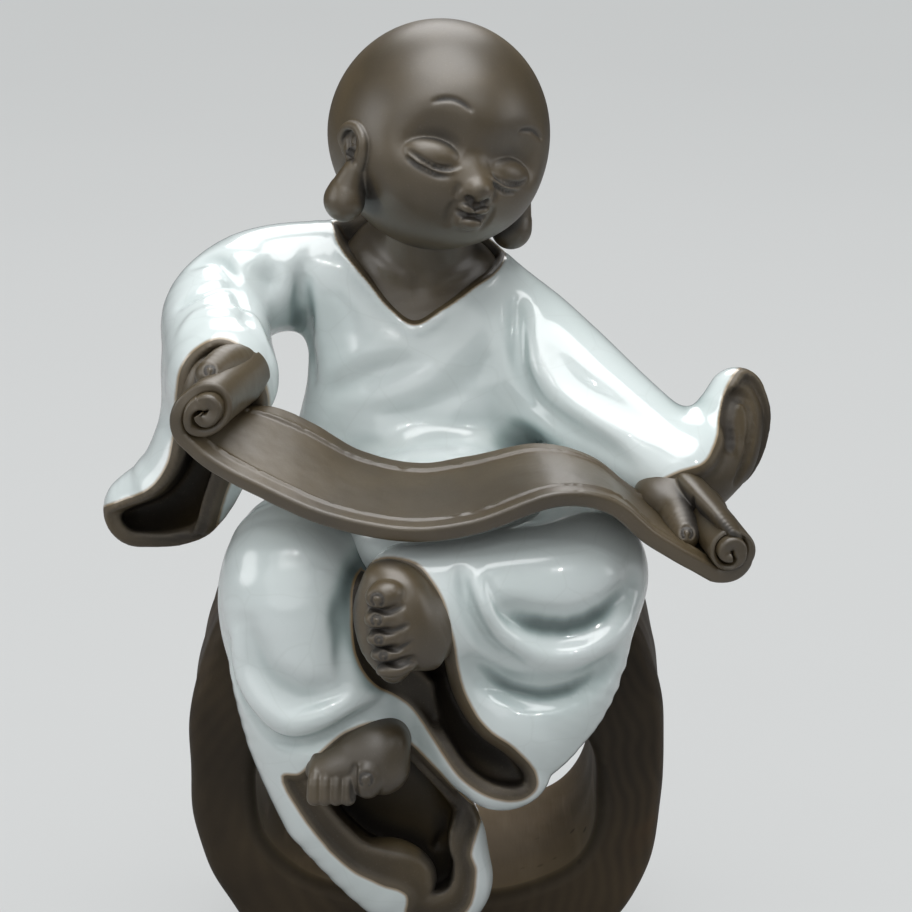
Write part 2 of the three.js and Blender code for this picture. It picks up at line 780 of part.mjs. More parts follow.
const sheetRoom = scrollRoom(jointGap);
const trunkRoom = trunk(jointGap);
const woodRoom = box([-farOut, legBack, -farOut], [farOut, farOut, jointGap]);
const legsRoom = box([-farOut, -farOut, -farOut], [farOut, legBack, jointGap]);
const rightLegRoom = rightLegOuter(jointGap);
const leftLegRoom = leftLegOuter(jointGap);

const pieces = {
  robe_body: cutBack(robeBody(), [sheetRoom, woodRoom, legsRoom]),
  scroll: sheet(true),
  neck_and_chest: neckAndChest().subtract(headRoom),
  head: head(),
  right_sleeve: cutBack(rightSleeve(), [trunkRoom, sheetRoom, rightLegRoom, headRoom]),
  left_sleeve: cutBack(leftSleeve(), [trunkRoom, sheetRoom, leftLegRoom, headRoom]),
  right_trouser_leg: cutBack(rightLeg(), [woodRoom, trunkRoom, sheetRoom]),
  left_trouser_leg: cutBack(leftLeg(), [woodRoom, trunkRoom, sheetRoom, rightLegRoom]),
  right_hand: cutBack(rightHand(), [sheetRoom, rightSleeve(jointGap)]),
  left_hand: cutBack(leftHand(), [sheetRoom, leftSleeve(jointGap)]),
  right_foot: cutBack(rightFoot, [rightLeg(jointGap), leftLeg(jointGap), trunkRoom]),
  left_foot: cutBack(leftFoot, [leftLeg(jointGap), trunkRoom, sheetRoom]),
};

const material = (color, roughness) => new THREE.MeshStandardMaterial({ color, roughness });
const looks = { robe: [0xc9d6d6, 0.12], clay: [0x5b5148, 0.6], wood: [0x4a3626, 0.5] };

function node(name, solid, [color, roughness]) {
  const mesh = new THREE.Mesh(geometryOf(largestBody(solid)), material(color, roughness));
  mesh.name = name;
  return mesh;
}

const figure = new THREE.Group();
figure.position.z = seatHeight;
for (const [name, solid] of Object.entries(pieces)) {
  figure.add(node(name, solid, /robe|sleeve|trouser/.test(name) ? looks.robe : looks.clay));
}
const headNode = figure.getObjectByName("head");
headNode.position.copy(headPlace);
headNode.rotation.copy(headTurn);

const teaPet = new THREE.Group();
teaPet.add(node("wood_ring", woodRing(), looks.wood), figure);

export default teaPet;
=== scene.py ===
import math

import bpy
import numpy as np
from mathutils import Euler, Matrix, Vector


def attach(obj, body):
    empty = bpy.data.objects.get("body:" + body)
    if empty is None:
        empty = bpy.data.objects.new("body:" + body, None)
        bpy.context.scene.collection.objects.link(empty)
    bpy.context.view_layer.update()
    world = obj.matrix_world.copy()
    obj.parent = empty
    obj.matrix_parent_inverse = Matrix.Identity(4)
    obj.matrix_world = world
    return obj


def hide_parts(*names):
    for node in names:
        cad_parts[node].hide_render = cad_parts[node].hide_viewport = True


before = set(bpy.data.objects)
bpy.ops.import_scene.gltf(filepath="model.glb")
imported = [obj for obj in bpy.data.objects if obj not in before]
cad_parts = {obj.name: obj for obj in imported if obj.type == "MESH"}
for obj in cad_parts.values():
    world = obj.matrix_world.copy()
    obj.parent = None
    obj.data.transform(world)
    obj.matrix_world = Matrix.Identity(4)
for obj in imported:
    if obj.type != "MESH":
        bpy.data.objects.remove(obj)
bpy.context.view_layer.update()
scene = bpy.context.scene
scene.view_settings.view_transform = "Standard"

MM = 0.001
SEAT = 70.0  # height of the flat on the wood that the figure sits on, in millimetres


# Photograph: a small object on a table, seen from a little above with a long lens.

LENS = 144.4  # millimetres
EYE = (0.0049, -0.59887, 0.24625)  # metres
LOOKS_DOWN = 15  # degrees

camera_data = bpy.data.cameras.new("camera")
camera_data.lens = LENS
camera = bpy.data.objects.new("camera", camera_data)
camera.location = EYE
camera.rotation_euler = (math.radians(90 - LOOKS_DOWN), 0, 0)
scene.collection.objects.link(camera)
scene.camera = camera


# Studio: one big soft lamp straight above, weak ones in front and at the sides, and a row of small ones
# that put sharp glints on the glaze. The floor and the sweep behind it are pale.

MIDDLE = (0, -0.02, 0.08)  # what every lamp points at, in metres

# name, place and width in metres, and strength in watts
lamps = [("key", (0.03, -0.09, 0.70), 0.56, 3.5), ("back", (0.0, 0.50, 0.62), 0.50, 2.0),
         ("front_fill", (-0.20, -0.66, 0.48), 0.90, 1.7), ("left_fill", (-0.7, -0.15, 0.34), 0.4, 1.1),
         ("right_fill", (0.7, -0.05, 0.3), 0.4, 0.7)]
lamps += [("glint_%d" % i, (-0.24 + 0.09 * i, -0.42, 0.62), 0.014, 0.12) for i in range(3)]
lamps += [("side_glint", (0.34, -0.40, 0.55), 0.02, 0.2)]
for name, place, size, watts in lamps:
    light = bpy.data.lights.new(name, "AREA")
    light.shape = "DISK"
    light.size = size
    light.energy = watts
    lamp = bpy.data.objects.new(name, light)
    lamp.location = place
    lamp.rotation_euler = (Vector(MIDDLE) - Vector(place)).to_track_quat("-Z", "Y").to_euler()
    scene.collection.objects.link(lamp)


def maths(operation, *values):
    """A Math node on wires and numbers, or a Vector Math node where one of the wires is a vector."""
    wires = [v for v in values if isinstance(v, Wire)]
    vector = any(wire.socket.type == "VECTOR" for wire in wires)
    kind = "ShaderNodeVectorMath" if vector else "ShaderNodeMath"
    sockets = {i: (v,) * 3 if vector and not isinstance(v, (Wire, tuple)) else v
               for i, v in enumerate(values)}
    return wires[0].tree.node(kind, {"operation": operation}, sockets)


class Wire:
    """What comes out of a node. A sum written with it adds the nodes that work it out."""

    def __init__(self, tree, socket):
        self.tree, self.socket = tree, socket

    def __add__(self, other): return maths("ADD", self, other)
    def __radd__(self, other): return maths("ADD", other, self)
    def __sub__(self, other): return maths("SUBTRACT", self, other)
    def __rsub__(self, other): return maths("SUBTRACT", other, self)
    def __mul__(self, other): return maths("MULTIPLY", self, other)
    def __rmul__(self, other): return maths("MULTIPLY", other, self)
    def __truediv__(self, other): return maths("DIVIDE", self, other)

    def step(self, low, high):
        """0 below low and 1 above high, with a smooth change between. Where low is the greater, the
        other way round."""
        if low > high:
            return 1 - self.step(high, low)
        return self.tree.node("ShaderNodeMapRange", {"interpolation_type": "SMOOTHSTEP"},
                              {"Value": self, "From Min": low, "From Max": high})


class Tree:
    """A node tree, with one method that adds any node and short ones for the nodes used most."""

    def __init__(self, nodes_and_links):
        self.nodes, self.links = nodes_and_links.nodes, nodes_and_links.links

    def node(self, kind, settings=None, sockets=None, output=0):
        """Adds a node and returns one of its outputs. The settings are made first. A socket is named,
        or is a place in the list, and gets a value or a wire."""
        made = self.nodes.new(kind)
        for key, value in (settings or {}).items():
            setattr(made, key, value)
        for key, value in (sockets or {}).items():
            named = [s for s in made.inputs if s.enabled and key in (s.name, s.identifier)]
            socket = made.inputs[key] if isinstance(key, int) else named[0]
            if isinstance(value, Wire):
                self.links.new(value.socket, socket)
            elif socket.type == "RGBA" and len(value) == 3:
                socket.default_value = (*value, 1)
            else:
                socket.default_value = value
        found = [s for s in made.outputs if s.enabled and output in (0, s.name)]
        return Wire(self, found[0])

    def mix(self, share, a, b):
        """Colour a where share is 0, and b where it is 1."""
        return self.node("ShaderNodeMix", {"data_type": "RGBA"}, {"Factor": share, "A": a, "B": b})

    def noise(self, point, scale, detail=3, output="Fac", **more):
        """Soft noise with so many bumps to a metre."""
        sockets = {"Vector": point, "Scale": scale, "Detail": detail, **more}
        return self.node("ShaderNodeTexNoise", None, sockets, output)

    def attribute(self, name):
        return self.node("ShaderNodeAttribute", {"attribute_name": name}, None, "Fac")

    def axes(self, point):
        """The X, Y and Z of a point."""
        return [self.node("ShaderNodeSeparateXYZ", None, {"Vector": point}, axis) for axis in "XYZ"]

    def length(self, vector):
        return self.node("ShaderNodeVectorMath", {"operation": "LENGTH"}, {0: vector}, "Value")

    def bump(self, height, strength, distance):
        return self.node("ShaderNodeBump", None,
                         {"Strength": strength, "Distance": distance, "Height": height})


def material(name, constants=None):
    """A new material: its tree, its shader node and the point in object space."""
    made = bpy.data.materials.new(name)
    made.use_nodes = True
    tree = Tree(made.node_tree)
    shader = made.node_tree.nodes["Principled BSDF"]
    for key, value in (constants or {}).items():
        shader.inputs[key].default_value = value
    point = tree.node("ShaderNodeTexCoord", None, None, "Object")
    return made, tree, shader, point


def feed(tree, shader, **wires):
    """Links wires to the shader's sockets of the same names."""
    for key, wire in wires.items():
        tree.links.new(wire.socket, shader.inputs[key.replace("_", " ")])


def plain_mesh(name, points, faces, attributes=None, smooth=True):
    """A mesh object from points in metres and faces that all have as many corners."""
    mesh = bpy.data.meshes.new(name)
    count, corners = faces.shape
    mesh.vertices.add(len(points))
    mesh.vertices.foreach_set("co", np.asarray(points, np.float32).ravel())
    mesh.loops.add(faces.size)
    mesh.loops.foreach_set("vertex_index", faces.astype(np.int32).ravel())
    mesh.polygons.add(count)
    mesh.polygons.foreach_set("loop_start", np.arange(0, faces.size, corners, dtype=np.int32))
    mesh.update(calc_edges=True)
    mesh.validate()
    mesh.polygons.foreach_set("use_smooth", np.full(len(mesh.polygons), smooth))
    for key, values in (attributes or {}).items():
        layer = mesh.attributes.new(key, "FLOAT", "POINT")
        layer.data.foreach_set("value", np.asarray(values, np.float32))
    made = bpy.data.objects.new(name, mesh)
    scene.collection.objects.link(made)
    return made


def backdrop():
    """A floor that curves up into a wall far behind."""
    reach, bend, radius, top = 9.0, 1.2, 0.6, 2.4  # metres
    profile = [(-reach, 0.0), (bend, 0.0)]
    profile += [(bend + radius * math.sin(a), radius - radius * math.cos(a))
                for a in np.linspace(0.1, math.pi / 2, 14)]
    profile += [(bend + radius, top)]
    points = [(x, y, z) for y, z in profile for x in (-reach, reach)]
    rows = np.arange(len(profile) - 1)[:, None] * 2
    made = plain_mesh("backdrop", points, rows + np.array([[0, 1, 3, 2]]))
    paint, tree, shader, point = material("backdrop_paint", {"Roughness": 0.9, "Specular IOR Level": 0.1})
    height = tree.axes(point)[2].step(0.0, 1.1)
    seen = tree.node("ShaderNodeLightPath", None, None, "Is Camera Ray")
    mottle = tree.noise(point, 6, 2) * 0.06
    color = tree.mix(height + mottle, (0.78, 0.80, 0.80), (0.50, 0.52, 0.54))
    feed(tree, shader, Base_Color=color * 0.5)
    glow = tree.node("ShaderNodeEmission", None, {"Color": color, "Strength": 0.95})
    share = tree.node("ShaderNodeMixShader", None,
                      {"Fac": seen * 0.75, 1: Wire(tree, shader.outputs[0]), 2: glow})
    tree.links.new(share.socket, tree.nodes["Material Output"].inputs["Surface"])
    made.data.materials.append(paint)


backdrop()
world = bpy.data.worlds.new("room")
scene.world = world
world.use_nodes = True
room = world.node_tree.nodes["Background"].inputs
room["Color"].default_value = (0.94, 0.96, 1, 1)
room["Strength"].default_value = 0.15


# Clay: each clay piece is modelled as a potter does, from lumps that are joined, cut back with a
# loop tool and pressed with a modelling tool. The block of clay is a grid of distances to its
# surface in millimetres, below zero inside, and is turned into a mesh at the end.

def smooth_least(a, b, blend):
    """The lesser of two distances, with the crease between them filled over so many millimetres."""
    if blend <= 0:
        return np.minimum(a, b)
    near = np.maximum(blend - np.abs(a - b), 0)
    return np.minimum(a, b) - near * near / (4 * blend)


def curve(points, steps):
    """A smooth line through points: so many steps between each two, as the part's source draws it."""
    p = np.asarray(points, float)
    p = np.vstack([2 * p[0] - p[1], p, 2 * p[-1] - p[-2]])
    line = []
    for a, b, c, d in zip(p, p[1:], p[2:], p[3:]):
        u, v, w = (max(np.linalg.norm((q - r)[:3]), 1e-6) ** 0.5 for q, r in ((b, a), (c, b), (d, c)))
        start = ((b - a) / u - (c - a) / (u + v) + (c - b) / v) * v
        end = ((c - b) / v - (d - b) / (v + w) + (d - c) / w) * v
        for t in np.arange(steps) / steps:
            line.append(b + start * t + (3 * (c - b) - 2 * start - end) * t * t
                        + (start + end - 2 * (c - b)) * t ** 3)
    return np.array(line + [p[-2]])


class Form:
    """A shape: a box that holds it, and a function from points to distances."""

    def __init__(self, low, high, distance):
        self.low, self.high, self.distance = np.array(low, float), np.array(high, float), distance


def sweep(stations, across, steps=5):
    """An ellipse swept along a smooth line. Each station is [x, y, z, half-width, half-depth]."""
    stations = np.asarray(stations, float)
    line = curve(stations[:, :3], steps)
    share = np.linspace(0, len(stations) - 1, len(line))
    radii = np.stack([np.interp(share, range(len(stations)), stations[:, i]) for i in (3, 4)], 1)
    reach = radii.max()

    def distance(x, y, z):
        best = None
        for a, b, ra, rb in zip(line, line[1:], radii, radii[1:]):
            along = b - a
            length = np.linalg.norm(along)
            along = along / length
            side = np.array(across, float) - along * np.dot(across, along)
            side /= np.linalg.norm(side)
            up = np.cross(along, side)
            dx, dy, dz = x - a[0], y - a[1], z - a[2]
            far = dx * along[0] + dy * along[1] + dz * along[2]
            t = np.clip(far / length, 0, 1)
            wide, deep = (ra[i] + (rb[i] - ra[i]) * t for i in (0, 1))
            beyond = (far - t * length) / np.minimum(wide, deep)
            s = (dx * side[0] + dy * side[1] + dz * side[2]) / wide
            u = (dx * up[0] + dy * up[1] + dz * up[2]) / deep
            q = np.sqrt(s * s + u * u + beyond * beyond) + 1e-6
            slope = np.sqrt((s / wide) ** 2 + (u / deep) ** 2
                            + (beyond / np.minimum(wide, deep)) ** 2) + 1e-6
            d = (q - 1) * q / slope
            best = d if best is None else np.minimum(best, d)
        return best

    return Form(line.min(0) - reach, line.max(0) + reach, distance)


def ball(middle, half, turn=(0, 0, 0)):
    """An ellipsoid with its three half-axes, turned by so many radians about X, then Y, then Z."""
    half = np.array(half, float)
    turned = np.array(Euler(turn, "XYZ").to_matrix())
    reach = half.max()

    def distance(x, y, z):
        d = [x - middle[0], y - middle[1], z - middle[2]]
        p = [sum(turned[j, i] * d[j] for j in range(3)) / half[i] for i in range(3)]
        q = np.sqrt(sum(v * v for v in p)) + 1e-6
        return (q - 1) * q / (np.sqrt(sum((v / h) ** 2 for v, h in zip(p, half))) + 1e-6)

    return Form(np.array(middle) - reach, np.array(middle) + reach, distance)


def rod(points, radii, steps=4):
    """A round bar along a smooth line, with a radius at each of its points."""
    return sweep([[*p, r, r] for p, r in zip(points, radii)], (0.31, 0.22, 0.93), steps)


def mouth(outline, front, back, at, slant):
    """A smooth closed outline in the front view, cut from front to back. It is true to size at the depth
    named by at, and slant lowers it behind that."""
    ring = curve([outline[-1], *outline, outline[0], outline[1]], 5)[5:-6]
    low, high = ring.min(0), ring.max(0)

    def distance(x, y, z):
        level = z + slant * (y - at)
        x, level = np.broadcast_arrays(x, level)
        best, inside = np.full(level.shape, 1e9), np.zeros(level.shape, bool)
        for a, b in zip(ring, np.roll(ring, -1, 0)):
            e = b - a
            u, v = x - a[0], level - a[1]
            t = np.clip((u * e[0] + v * e[1]) / (e @ e), 0, 1)
            best = np.minimum(best, (u - e[0] * t) ** 2 + (v - e[1] * t) ** 2)
            crosses = (a[1] > level) != (b[1] > level)
            inside ^= crosses & (u < e[0] * v / (e[1] if e[1] else 1e-9))
        d = np.sqrt(best) * np.where(inside, -1, 1)
        return np.maximum(d, np.maximum(front - y, y - back))

    drop = abs(slant) * (back - front)
    return Form((low[0], front, low[1] - drop), (high[0], back, high[1] + drop), distance)


def strokes(path, x, y, z):
    """For each straight bit of a path: the squared distance of points from it, and the share of the whole
    path that lies before the nearest place."""
    for k, (a, b) in enumerate(zip(path, path[1:])):
        e = b - a
        t = np.clip(((x - a[0]) * e[0] + (y - a[1]) * e[1] + (z - a[2]) * e[2]) / (e @ e + 1e-9), 0, 1)
        d = (x - a[0] - e[0] * t) ** 2 + (y - a[1] - e[1] * t) ** 2 + (z - a[2] - e[2] * t) ** 2
        yield d, (k + t) / (len(path) - 1)


class Clay:
    """A block of clay on a grid."""

    def __init__(self, low, high, step):
        self.low, self.step = np.array(low, float), step
        self.count = np.ceil((np.array(high) - low) / step).astype(int) + 1
        self.field = np.full(self.count, 6.0, np.float32)
        self.cuts = []

    def copy(self):
        made = Clay(self.low, self.low, self.step)
        made.count, made.field = self.count, self.field.copy()
        return made

    def part(self, low, high, margin):
        a = np.clip(((low - margin - self.low) / self.step).astype(int), 0, self.count)
        b = np.clip(((high + margin - self.low) / self.step).astype(int) + 2, 0, self.count)
        at = tuple(slice(p, q) for p, q in zip(a, b))
        axes = [(self.low[i] + self.step * np.arange(a[i], b[i])).astype(np.float32) for i in range(3)]
        return at, np.meshgrid(*axes, indexing="ij", sparse=True)

    def add(self, form, blend=0.0):
        at, xyz = self.part(form.low, form.high, blend + 4 * self.step)
        self.field[at] = smooth_least(self.field[at], form.distance(*xyz), blend)
        return self

    def cut(self, form, blend=0.0):
        at, xyz = self.part(form.low, form.high, blend + 4 * self.step)
        self.field[at] = -smooth_least(-self.field[at], form.distance(*xyz), blend)
        return self

    def at(self, points):
        """The distance at each of many points, from the eight grid points round it."""
        g = np.clip((np.asarray(points) - self.low) / self.step, 0, np.array(self.count) - 1.001)
        i = g.astype(int)
        f = (g - i).astype(np.float32)
        total = 0
        for corner in np.ndindex(2, 2, 2):
            weight = np.prod(np.where(corner, f, 1 - f), axis=1)
            total = total + weight * self.field[tuple((i + corner).T)]
        return total

    def slope(self, points, reach=None):
        h = reach or self.step
        shifts = np.eye(3) * h
        g = np.stack([self.at(points + s) - self.at(points - s) for s in shifts], 1)
        return g / (np.linalg.norm(g, axis=1, keepdims=True) + 1e-9)

    def front(self, x, z, behind=-80.0):
        """The first point of the clay that a tool meets when pushed in from the front."""
        y = np.arange(behind, self.low[1] + self.step * (self.count[1] - 1), self.step / 2)
        d = self.at(np.stack([np.full_like(y, x), y, np.full_like(y, z)], 1))
        d[y < self.low[1]] = 5
        inside = np.nonzero(d < 0)[0]
        return np.array([x, y[inside[0]] if len(inside) else y[d.argmin()], z])

    def press(self, line, depth, width, steps=6, fade=True):
        """Draws a round tool along a line of points [x, y, z] on the surface, or [x, z] in the front view.
        A depth below zero raises a ridge instead. Cuts and deep presses are remembered, to have shade
        painted along them."""
        line = [self.front(*p) if len(p) == 2 else np.array(p, float) for p in line]
        path = curve(line, steps) if len(line) > 1 else np.array([line[0], line[0] + 1e-3])
        at, xyz = self.part(path.min(0), path.max(0), 2.4 * width)
        most = None
        for away, share in strokes(path, *xyz):
            force = np.clip(4 * share * (1 - share), 0, 1) ** 0.6 if fade else 1.0
            push = force * np.exp(-away / (width * width))
            most = push if most is None else np.maximum(most, push)
        if depth > 0.5:
            strength = 1.1 if width < 0.5 else min(depth / 4.8, 1.0)
            self.cuts.append((path, max(0.8 * width, 0.3), strength, fade))
        self.field[at] += (depth * most).astype(np.float32)
        return self

    def surface(self):
        """The points and four-cornered faces of the surface: a point in each cell that the surface
        crosses, a face round each crossed edge, and then a light smoothing that keeps the distances."""
        inside = self.field < 0
        n = np.array(inside.shape) - 1
        corners = list(np.ndindex(2, 2, 2))
        some, every = np.zeros(n, bool), np.ones(n, bool)
        for corner in corners:
            there = inside[tuple(slice(c, c + m) for c, m in zip(corner, n))]
            some |= there
            every &= there
        cells = np.argwhere(some & ~every)
        value = np.stack([self.field[tuple((cells + corner).T)] for corner in corners], 1)
        total, crossings = np.zeros((len(cells), 3)), np.zeros(len(cells))
        for i, p in enumerate(corners):
            for j, q in enumerate(corners):
                if j > i and sum(abs(a - b) for a, b in zip(p, q)) == 1:
                    a, b = value[:, i], value[:, j]
                    crossed = (a < 0) != (b < 0)
                    t = np.where(crossed, a / np.where(crossed, a - b, 1), 0)[:, None]
                    total += crossed[:, None] * (np.array(p) * (1 - t) + np.array(q) * t)
                    crossings += crossed
        points = self.low + self.step * (cells + total / crossings[:, None])
        number = np.full(n, -1, np.int32)
        number[tuple(cells.T)] = np.arange(len(cells))
        faces = []
        for axis in range(3):
            u, v = (axis + 1) % 3, (axis + 2) % 3
            a = inside[tuple(slice(0, -1) if k == axis else slice(1, -1) for k in range(3))]
            b = inside[tuple(slice(1, None) if k == axis else slice(1, -1) for k in range(3))]
            for here, order in ((a & ~b, (0, 1, 2, 3)), (b & ~a, (3, 2, 1, 0))):
                base = np.argwhere(here)
                base[:, u] += 1
                base[:, v] += 1
                ring = []
                for du, dv in ((-1, -1), (0, -1), (0, 0), (-1, 0)):
                    cell = base.copy()
                    cell[:, u] += du
                    cell[:, v] += dv
                    ring.append(number[tuple(cell.T)])
                faces.append(np.stack([ring[k] for k in order], 1))
        faces = np.vstack(faces)
        for _ in range(2):
            total, shares = np.zeros_like(points), np.zeros(len(points))
            for k in range(4):
                here, there = faces[:, k], faces[:, (k + 1) % 4]
                for a, b in ((here, there), (there, here)):
                    np.add.at(shares, a, 1)
                    for c in range(3):
                        total[:, c] += np.bincount(a, points[b, c], len(points))
            points = 0.5 * points + 0.5 * total / shares[:, None]
            for _ in range(2):
                points = points - self.slope(points) * self.at(points)[:, None]
        return points, faces

    def piece(self, name, finish, *nodes, attributes=None, lift=SEAT, place=None):
        """The finished piece, which stands for CAD nodes. Its attribute hollow tells how deep a point lies
        in a fold or a cut, raised further along cut lines so that the finishes paint shade there, and thin
        how sharp its edge is.
        attributes gets the points and returns more of them. place turns and moves the piece, and lift is
        the height of its origin."""
        points, faces = self.surface()
        slope = self.slope(points)
        hollow = np.maximum.reduce([1 - self.at(points + reach * slope) / reach for reach in (0.8, 2.2, 4)])
        hollow = np.clip(hollow, -1, 1)
        # painted shade along cuts and deep presses: the hollow attribute is raised along each of them
        for path, width, strength, fade in self.cuts:
            for _ in range(12):
                path = path - self.slope(path, 0.3) * np.clip(0.4 * self.at(path), -0.4, 0.4)[:, None]
            low, high = path.min(0), path.max(0)
            near = np.nonzero((np.abs(points - (low + high) / 2) < (high - low) / 2 + 3 * width).all(1))[0]
            for away, share in strokes(path, *points[near].T):
                force = np.clip(5 * share * (1 - share), 0, 1) if fade else 1.0
                dark = strength * force * np.exp(-away / (width * width))
                hollow[near] = np.maximum(hollow[near], dark)
        thin = np.clip(1 + self.at(points - 0.9 * slope) / 0.9, -1, 1)
        layers = {"hollow": hollow, "thin": thin, **(attributes(points) if attributes else {})}
        if place is not None:
            points = points @ np.array(place.to_3x3()).T + np.array(place.translation)
        made = plain_mesh(name, (points + (0, 0, lift)) * MM, faces, layers)
        made.data.materials.append(finish)
        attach(made, "figure")
        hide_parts(*nodes)
        "dark_clay" if finish == clay_finish else "celadon_glaze"


# Finishes shared by the clay pieces. The body is a dark iron-rich stoneware, smooth but unglazed, so
# it is dull with a faint sheen, slightly mottled by the fire and speckled with iron. Its creases, recesses
# and cut lines are painted with shade, nearly black.

CLAY_DARK, CLAY_LIGHT = (0.046, 0.033, 0.015), (0.086, 0.062, 0.029)
CLAY_WORN, CLAY_CREASE_SHADE, IRON_SPECK = (0.165, 0.138, 0.102), (0.013, 0.010, 0.007), (0.20, 0.17, 0.13)
GLAZE_GREEN, GLAZE_PALE, GLAZE_THIN = (0.645, 0.72, 0.71), (0.71, 0.775, 0.775), (0.86, 0.89, 0.87)
# the two pooled colours: pooled glaze with painted shade over it, and painted shade, almost black, for the
# bottom of deep folds and cuts
CRACKLE, POOLED_AND_SHADE, DEEP_FOLD_SHADE = (0.50, 0.56, 0.54), (0.27, 0.37, 0.36), (0.05, 0.08, 0.078)
RIM_BROWN = (0.27, 0.17, 0.065)


def clay_look(tree, point):
    """Colour, roughness and height of bare clay. The colour has painted shade, nearly black, in creases,
    recesses and cut lines.
    """
    fire = tree.noise(point, 55, 4)
    speck = tree.noise(point, 3200, 2).step(0.60, 0.74)
    grain = tree.noise(point, 1500, 3)
    edge = tree.attribute("thin").step(0.05, 0.5)
    # painted shade: the clay is darkened almost to black in creases, recesses and along cut lines
    crease_shade = tree.attribute("hollow").step(0.1, 0.8)
    color = tree.mix(fire.step(0.3, 0.7), CLAY_DARK, CLAY_LIGHT)
    color = tree.mix(edge * 0.40, color, CLAY_WORN)
    color = tree.mix(crease_shade * 0.85, color, CLAY_CREASE_SHADE)
    color = tree.mix(speck * 0.14, color, IRON_SPECK)
    return color, 0.41 + 0.08 * grain + 0.2 * crease_shade, grain * 0.5 + fire * 0.3


def bare_clay():
    made, tree, shader, point = material(
        "bare_clay", {"Specular IOR Level": 0.9, "Coat Weight": 0.25, "Coat Roughness": 0.34})
    color, rough, height = clay_look(tree, point)
    feed(tree, shader, Base_Color=color, Roughness=rough, Normal=tree.bump(height, 0.16, 0.0002))
    return made


def celadon():
    """Glaze over the same clay: thick and blue-green in the hollows, where painted shade darkens it
    further, almost to black at the bottom of deep folds and cuts; thin and brown at the rims, with a fine
    crackle, and bare clay wherever the attribute named bare is above zero millimetres."""
    made, tree, shader, point = material("celadon_glaze", {"Coat Roughness": 0.02, "Coat IOR": 1.5})
    wander = tree.noise(point, 260, 2) - 0.5
    bare = tree.attribute("bare") + wander * 0.3
    clay, clay_rough, clay_height = clay_look(tree, point)
    pooling_and_shade = tree.attribute("hollow")
    cloud = tree.noise(point, 38, 3)
    color = tree.mix(cloud.step(0.25, 0.75), GLAZE_GREEN, GLAZE_PALE)
    color = tree.mix(tree.attribute("thin").step(0.12, 0.5) * 0.5, color, GLAZE_THIN)
    bend = point + tree.noise(point, 70, 2, "Color") * 0.006
    cells, fine = (tree.node("ShaderNodeTexVoronoi", {"feature": "DISTANCE_TO_EDGE"},
                             {"Vector": bend, "Scale": scale}) for scale in (105, 300))
    crack = cells.step(0.030, 0.0) * 0.13 + fine.step(0.03, 0.0) * cloud.step(0.45, 0.7) * 0.10
    color = tree.mix(crack, color, CRACKLE)
    # thick glaze pooled in the hollows, darkened further with painted shade, then painted shade almost
    # black at the bottom of deep folds and cuts
    color = tree.mix(pooling_and_shade.step(0.06, 0.60) * 0.65, color, POOLED_AND_SHADE)
    color = tree.mix(pooling_and_shade.step(0.30, 1.05) * 0.8, color, DEEP_FOLD_SHADE)
    rim = bare.step(-0.62, -0.08)
    color = tree.mix(rim * 0.85, color, RIM_BROWN)
    glazed = 1 - bare.step(-0.10, 0.10)
    color = tree.mix(glazed, clay, color)
    rough = glazed * 0.20 + (1 - glazed) * clay_rough
    height = (1 - glazed) * clay_height + glazed * (tree.noise(point, 300, 2) * 0.35 - crack * 0.2)
    feed(tree, shader, Base_Color=color, Roughness=rough, Coat_Weight=glazed * 0.7,
         Normal=tree.bump(height, 0.12, 0.0002))
    return made


clay_finish, glaze_finish = bare_clay(), celadon()
SIDEWAYS, UPRIGHT = (1, 0, 0), (0, 0, 1)
HANG = -36.0  # depth at which the middle of the hanging leg lies, in front of the wood


TOOL_SLANT = 0.27  # the loop tool that hollows a cuff is held from a little above


def hollow_cuff(clay, outer, outline, at, limit, *steps):
    """Opens a cuff. Each step is (inside the outline, from the front, from the skin, lifted) in
    millimetres: a number for from the front cuts so deep below the cloth's front, and None cuts all the
    way to the depth named by limit. Returns how far inside the outline a point of the lip is."""
    front = mouth(outline, -62.0, limit + 12, at, TOOL_SLANT)
    for inside, deep, skin, lifted in steps:
        def reach(x, y, z):
            form = outer(x, y, z)
            if deep is None:
                floor = smooth_least(form + skin, y - limit, 2)
            else:
                floor = np.maximum(-form - deep, y - limit)
            return -smooth_least(-(front.distance(x, y, z - lifted) + inside), -floor, 1.2)

        clay.cut(Form(front.low - 1, front.high + 1, reach), 1.0)
    return lambda x, y, z: np.minimum(-front.distance(x, y, z), limit + 3 - y)


def union(parts):
    """The parts as one distance, each joined on with its own blend."""
    def distance(x, y, z):
        whole = np.float32(9)
        for form, blend in parts:
            whole = smooth_least(whole, form.distance(x, y, z), blend)
        return whole
    return distance


def bare_where(points, skin, *lips):
    """Above zero where the clay is bare: below the skin that was dipped in glaze, and on the lips."""
    return np.maximum.reduce([-3 * skin.at(points) - 0.9, *(lip(*points.T) for lip in lips)])


# Robe: the glazed upper part of the figure. The trunk and both sleeves are thin clay, pressed in a
# mould, joined with slip and smoothed. The cuffs are left open, and all but their insides and the
# collar is dipped in celadon glaze, which leaves a golden brown line where it ends.

